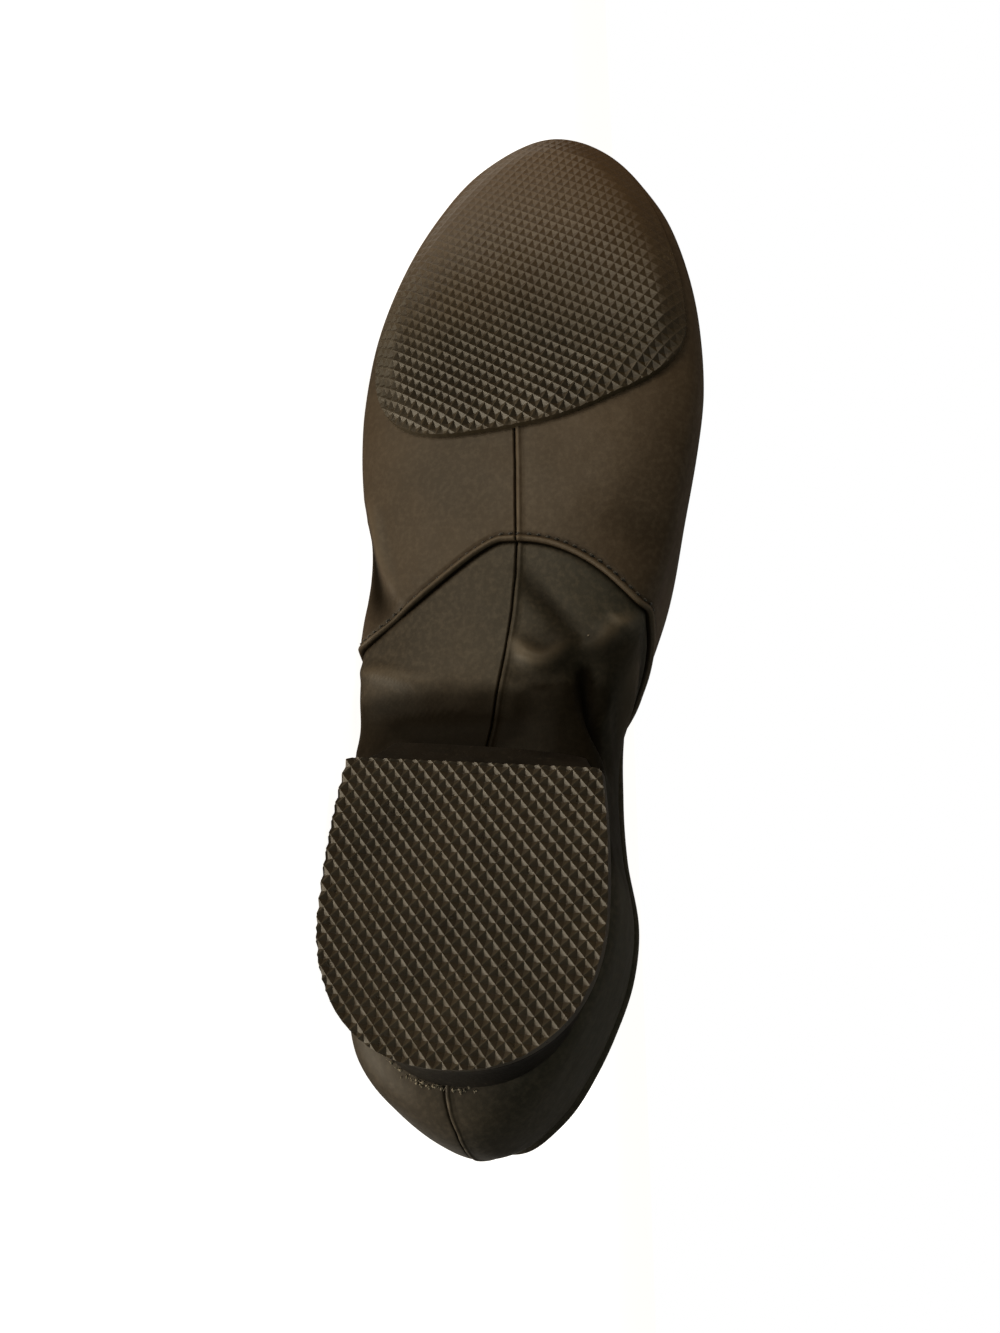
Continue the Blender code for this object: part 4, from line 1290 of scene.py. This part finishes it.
def seat_outline():
    """Give the outline of the heel block's upper end, its corners still sharp."""
    return heel_outline(
        HEEL_BACK + SEAT_BACK * HEEL_LENGTH, HEEL_BACK + SEAT_FRONT * HEEL_LENGTH,
        HEEL_MIDDLE + SEAT_SHIFT * HEEL_WIDTH, SEAT_WIDTH * HEEL_WIDTH, SEAT_FRONT_WIDTH * HEEL_WIDTH,
    )


def make_heel_tread(rubber):
    outline = lift_outline()
    points, drop, tip, faces = lattice(outline, HEEL_LATTICE)
    near = inside_distance(points, outline)
    placed = np.concatenate([points, (HEEL_DEPTH * drop)[:, None]], axis=1)
    data = np.concatenate([placed, tip[:, None]], axis=1)
    data, loops = clip_any(data, faces, near)

    def top(p):
        return np.array((p[0], p[1], HEEL_LIFT))

    data, loops = walled(data, loops, top)
    piece = make_piece("heel_tread", data, loops, ("tip",), rubber, smooth_faces=False)
    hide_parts("heel_lift")


# How far the heel block's look starts above the lift, and the shares of its height at which its rows lie
BLOCK_CLEAR = 0.0001
BLOCK_ROWS = [0.0, 0.02, 0.06, 0.12, 0.2, 0.3, 0.4, 0.5, 0.6, 0.7, 0.8, 0.88, 0.94, 0.98, 1.0]


def make_heel_block(rubber):
    """The plain block between tread and seat: its sides a little hollow, its breast leaning forward."""
    low, high = lift_outline(), softened(seat_outline())
    count = HEEL_POINTS
    low_middle = low.mean(axis=0)
    high_z = off_skin(high[:, 0], high[:, 1], PANEL_STEP + 0.0002)
    under = low_middle + (low - low_middle) * 0.97
    rows = [np.column_stack([under, np.full(count, HEEL_LIFT + BLOCK_CLEAR)])]
    for t in BLOCK_ROWS:
        ground = low + (high - low) * t
        inward = unit(low_middle - ground)
        hollow = 0.0007 * sin(pi * t) + 0.00035 * bell(t, 0.03)
        ground = ground + inward * hollow
        z = HEEL_LIFT + BLOCK_CLEAR + (high_z - HEEL_LIFT - BLOCK_CLEAR) * t
        rows.append(np.column_stack([ground, z]))
    points = np.array(rows)
    data = np.concatenate([points, np.zeros(points.shape[:2] + (2,))], axis=-1).reshape(-1, 5)
    faces = grid_faces(len(rows), count)
    piece = make_piece("heel_block_look", data, [list(f) for f in faces], ("raised", "painted_shade"), rubber)
    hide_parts("heel_block")


def make_insole(cloth):
    """The sock lining inside, with rounded edges."""
    rows, columns = 150, 40
    back, front, ends = INSOLE_BACK * LENGTH, INSOLE_FRONT * LENGTH, INSOLE_ENDS * LENGTH
    half_length = (front - back) / 2
    turn = pi * (INSOLE_SPREAD + (1 - 2 * INSOLE_SPREAD) * np.arange(rows + 1) / rows)
    x = back + half_length * (1 - np.cos(turn) / cos(pi * INSOLE_SPREAD))
    f = form_at(x)
    end = np.clip(np.minimum((x - back) / ends, (front - x) / ends), 0, 1)
    fill = INSOLE_FILL * np.sqrt(1 - INSOLE_ROUND * (1 - end) ** 2)
    low = f["keel"] + (f["outer"] - f["keel"]) * fill
    high = f["keel"] + (f["inner"] - f["keel"]) * fill
    across = np.linspace(0, 1, columns + 1)
    y = low[:, None] + (high - low)[:, None] * across
    xx = np.repeat(x[:, None], columns + 1, axis=1)
    bottom = off_skin(xx, y, PANEL_STEP + WALL + GAP)
    edge = np.minimum(across, 1 - across) * 30
    soft = np.sqrt(np.clip(1 - (1 - np.clip(edge, 0, 1)) ** 2, 0, 1))
    top = bottom + INSOLE_THICKNESS * (0.25 + 0.75 * soft)[None, :]
    skin_points = np.stack([xx, y, underside(xx, y)], axis=-1)
    sag = -folded(skin_points, REAR_FOLDS + FRONT_FOLDS)
    sheets = []
    for z in (bottom, top):
        sheets.append(np.stack([xx, y, z + sag], axis=-1).reshape(-1, 3))
    count = (rows + 1) * (columns + 1)
    data = np.concatenate([np.vstack(sheets), np.zeros((2 * count, 2))], axis=1)
    faces = []
    for r in range(rows):
        for c in range(columns):
            a, b = r * (columns + 1) + c, (r + 1) * (columns + 1) + c
            faces.append([a, b, b + 1, a + 1])
            faces.append([count + a, count + a + 1, count + b + 1, count + b])
    rim = list(range(columns + 1)) + [r * (columns + 1) + columns for r in range(1, rows + 1)]
    rim += [rows * (columns + 1) + c for c in range(columns - 1, -1, -1)]
    rim += [r * (columns + 1) for r in range(rows - 1, 0, -1)]
    for a, b in zip(rim, rim[1:] + rim[:1]):
        faces.append([a, b, b + count, a + count])
    piece = make_piece("insole_look", data, faces, ("raised", "painted_shade"), cloth)
    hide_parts("insole")


# The set

def stand_matrix(record):
    """Work out from the two mounts how the standing shoe is turned into the lying frame."""
    mounts = {m["name"]: m for m in record["mounts"]}
    heel = Vector(mounts["heel_tread"]["pos_m"])
    ball = Vector(mounts["forefoot_tread"]["pos_m"])
    up = -Vector(mounts["heel_tread"]["axis"]).normalized()
    ahead = ball - heel
    ahead = (ahead - up * ahead.dot(up)).normalized()
    left = up.cross(ahead)
    angle = atan2(BALL_MOUNT[1] - HEEL_MOUNT[1], BALL_MOUNT[0] - HEEL_MOUNT[0])
    toe = ahead * cos(angle) - left * sin(angle)
    inner = up.cross(toe)
    turn = Matrix((toe, inner, up)).transposed()
    place = heel - turn @ Vector(HEEL_MOUNT)
    return Matrix.Translation(place) @ turn.to_4x4()


# The photograph's camera, seen from the standing shoe, with its picture 1000 wide and 1333 high
CAMERA_AT = Vector((0.000, 0.072, -0.218))
CAMERA_RIGHT = Vector((-0.005, 0.9954, 0.098))
CAMERA_DOWN = Vector((-0.895, -0.048, 0.444))
CAMERA_AHEAD = Vector((0.446, -0.0855, 0.891))
# The picture's middle, the camera's focal length and where the shoe's middle is, all in the picture's dots
PICTURE_MIDDLE = (500.0, 666.5)
PICTURE_FOCUS = 1000
SHOE_IN_PICTURE = (301.0, 728.0)
# How much larger the shoe is shown than in the photograph, so that it fills the picture
CLOSER = 1.20


def make_camera():
    across, down = (SHOE_IN_PICTURE[k] - PICTURE_MIDDLE[k] for k in range(2))
    ahead = (CAMERA_AHEAD * PICTURE_FOCUS + CAMERA_RIGHT * across + CAMERA_DOWN * down).normalized()
    right = (CAMERA_RIGHT - ahead * CAMERA_RIGHT.dot(ahead)).normalized()
    up = right.cross(ahead)
    turn = Matrix((right, up, -ahead)).transposed().to_4x4()
    data = bpy.data.cameras.new("camera")
    data.sensor_fit = "VERTICAL"
    data.sensor_height = 36.0
    data.lens = 27.0 * CLOSER
    data.clip_start = 0.005
    data.clip_end = 50.0
    camera = bpy.data.objects.new("camera", data)
    bpy.context.scene.collection.objects.link(camera)
    camera.matrix_world = STAND @ (Matrix.Translation(CAMERA_AT) @ turn)
    bpy.context.scene.camera = camera


def make_light(name, at, aim, size, power, colour, glossy):
    data = bpy.data.lights.new(name, "AREA")
    data.shape = "RECTANGLE"
    data.size, data.size_y = size
    data.energy = power
    data.color = colour
    light = bpy.data.objects.new(name, data)
    bpy.context.scene.collection.objects.link(light)
    at, aim = Vector(at), Vector(aim)
    light.matrix_world = Matrix.Translation(at) @ (aim - at).to_track_quat("-Z", "Y").to_matrix().to_4x4()
    light.visible_glossy = glossy


def make_set():
    mesh = bpy.data.meshes.new("floor")
    mesh.from_pydata([(-8, -8, 0), (8, -8, 0), (8, 8, 0), (-8, 8, 0)], [], [(0, 1, 2, 3)])
    floor = bpy.data.objects.new("floor", mesh)
    bpy.context.scene.collection.objects.link(floor)
    # Two of the lamps stand under the floor: it lets their light through, and looks white from anywhere
    floor.visible_shadow = False
    material = bpy.data.materials.new("white_floor")
    material.use_nodes = True
    tree = material.node_tree
    shader = tree.nodes["Principled BSDF"]
    shader.inputs["Roughness"].default_value = 0.9
    shader.inputs["Specular IOR Level"].default_value = 0.0
    shader.inputs["Base Color"].default_value = (0.60, 0.60, 0.60, 1.0)
    shader.inputs["Emission Color"].default_value = (1.0, 0.985, 0.96, 1.0)
    seen = tree.nodes.new("ShaderNodeLightPath").outputs["Is Camera Ray"]
    tree.links.new(ranged(tree, seen, 0.0, 1.0, FLOOR_GLOW, FLOOR_WHITE), shader.inputs["Emission Strength"])
    mesh.materials.append(material)

    world = bpy.data.worlds.new("studio")
    bpy.context.scene.world = world
    world.use_nodes = True
    tree = world.node_tree
    tree.nodes.clear()
    seen = node(tree, "ShaderNodeBackground", Strength=1.0)
    seen.inputs["Color"].default_value = (1.0, 1.0, 1.0, 1.0)
    lit = node(tree, "ShaderNodeBackground", Strength=WORLD_GLOW)
    lit.inputs["Color"].default_value = (1.0, 0.97, 0.92, 1.0)
    path = tree.nodes.new("ShaderNodeLightPath")
    both = tree.nodes.new("ShaderNodeMixShader")
    tree.links.new(path.outputs["Is Camera Ray"], both.inputs[0])
    tree.links.new(lit.outputs[0], both.inputs[1])
    tree.links.new(seen.outputs[0], both.inputs[2])
    out = tree.nodes.new("ShaderNodeOutputWorld")
    tree.links.new(both.outputs[0], out.inputs["Surface"])

    for light in LIGHTS:
        make_light(*light)
    scene = bpy.context.scene
    scene.view_settings.view_transform = "Standard"
    scene.view_settings.look = "None"


FLOOR_WHITE = 0.985
FLOOR_GLOW = 0.04
WORLD_GLOW = 0.05
# Each light: its name, place, aim, two sides, power, colour and whether it shows in glossy surfaces
LIGHTS = [
    ("key", (-0.27, -0.72, -0.42), (0.0, 0.0, 0.035), (0.40, 0.40), 5.8, (1.0, 0.83, 0.58), True),
    ("toe_side", (-0.42, -0.30, 0.40), (-0.08, 0.0, 0.05), (0.25, 0.2), 1.00, (1.0, 0.80, 0.50), False),
    ("heel_side", (0.32, -0.16, -0.79), (0.06, 0.0, 0.03), (0.34, 0.34), 8.5, (1.0, 0.87, 0.66), True),
    ("heel_fill", (0.70, -0.45, 0.25), (0.08, 0.0, 0.03), (0.30, 0.30), 1.5, (0.92, 1.0, 0.84), False),
    ("top", (-0.1, 0.35, 1.2), (0.0, 0.0, 0.04), (1.0, 1.0), 5.0, (1.0, 0.93, 0.82), False),
    ("back", (-0.15, 1.0, 0.55), (0.0, 0.0, 0.04), (0.8, 0.8), 6.0, (1.0, 0.93, 0.84), False),
]

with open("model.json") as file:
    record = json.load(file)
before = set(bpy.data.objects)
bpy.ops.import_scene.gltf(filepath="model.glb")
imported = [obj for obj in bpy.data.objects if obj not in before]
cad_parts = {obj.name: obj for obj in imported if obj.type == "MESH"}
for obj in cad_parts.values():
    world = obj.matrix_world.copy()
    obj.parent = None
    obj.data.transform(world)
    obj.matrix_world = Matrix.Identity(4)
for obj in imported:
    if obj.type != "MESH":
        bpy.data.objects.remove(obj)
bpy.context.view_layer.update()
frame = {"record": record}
STAND = stand_matrix(frame["record"])
make_camera()
make_set()

leather_front = make_leather("leather_front_look", (0.041, 0.029, 0.0185), (0.027, 0.0193, 0.0125))
# The rear panel's leather is given darker than the front panel's, which paints shade on the rear; its third
# colour is the painted shade tint for the inner side.
leather_rear = make_leather(
    "leather_rear_look", (0.0240, 0.0178, 0.0112), (0.0145, 0.0108, 0.0068), (0.0175, 0.0180, 0.0140),
)
lining = make_cloth("lining_look", (0.030, 0.026, 0.021), (0.050, 0.044, 0.036))
sock = make_cloth("insole_cloth_look", (0.040, 0.035, 0.030), (0.070, 0.062, 0.052))
tread = make_tread_rubber()
heel_rubber = make_heel_rubber()
thread = make_thread("dark_thread", (0.012, 0.010, 0.008))
glue = make_plain("dried_glue", (0.22, 0.19, 0.145), 0.7)

upper_pieces(leather_front, leather_rear, lining)
make_forefoot_tread(tread)
make_heel_tread(tread)
make_heel_block(heel_rubber)
make_insole(sock)
make_crumbs(glue)

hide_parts("upper")

# The collar's binding: its width, its thickness and how square its section is
BINDING = (0.0042, 0.0031, 2.6)
# The cross seam's stitches: pitch, length and thickness, then how far in front of the seam and off the skin
# they lie
STITCH = (0.0022, 0.0013, 0.00060)
STITCH_LINE = 0.0016
STITCH_LIFT = 0.00002
# How far below the collar the stitches end
STITCH_END = 0.004

collar = collar_line(420)
collar_normals = skin_normal_at(collar)
middle_of_wall = collar - collar_normals * (PANEL_STEP + WALL) * 0.5
binding = tube("collar_binding", middle_of_wall, collar_normals, *BINDING, leather_rear)

seam = skin(np.array([SEAM_APEX + STITCH_LINE]), FINE)
seam_normals = skin_normal_at(seam)
run = np.flatnonzero(seam[:, 2] < topline_height(seam[:, 0]) - STITCH_END)
shown = slice(run[0], run[-1] + 1)
path = seam[shown] + seam_normals[shown] * STITCH_LIFT
sewn = stitches("cross_seam_stitches", path, seam_normals[shown], *STITCH, thread)
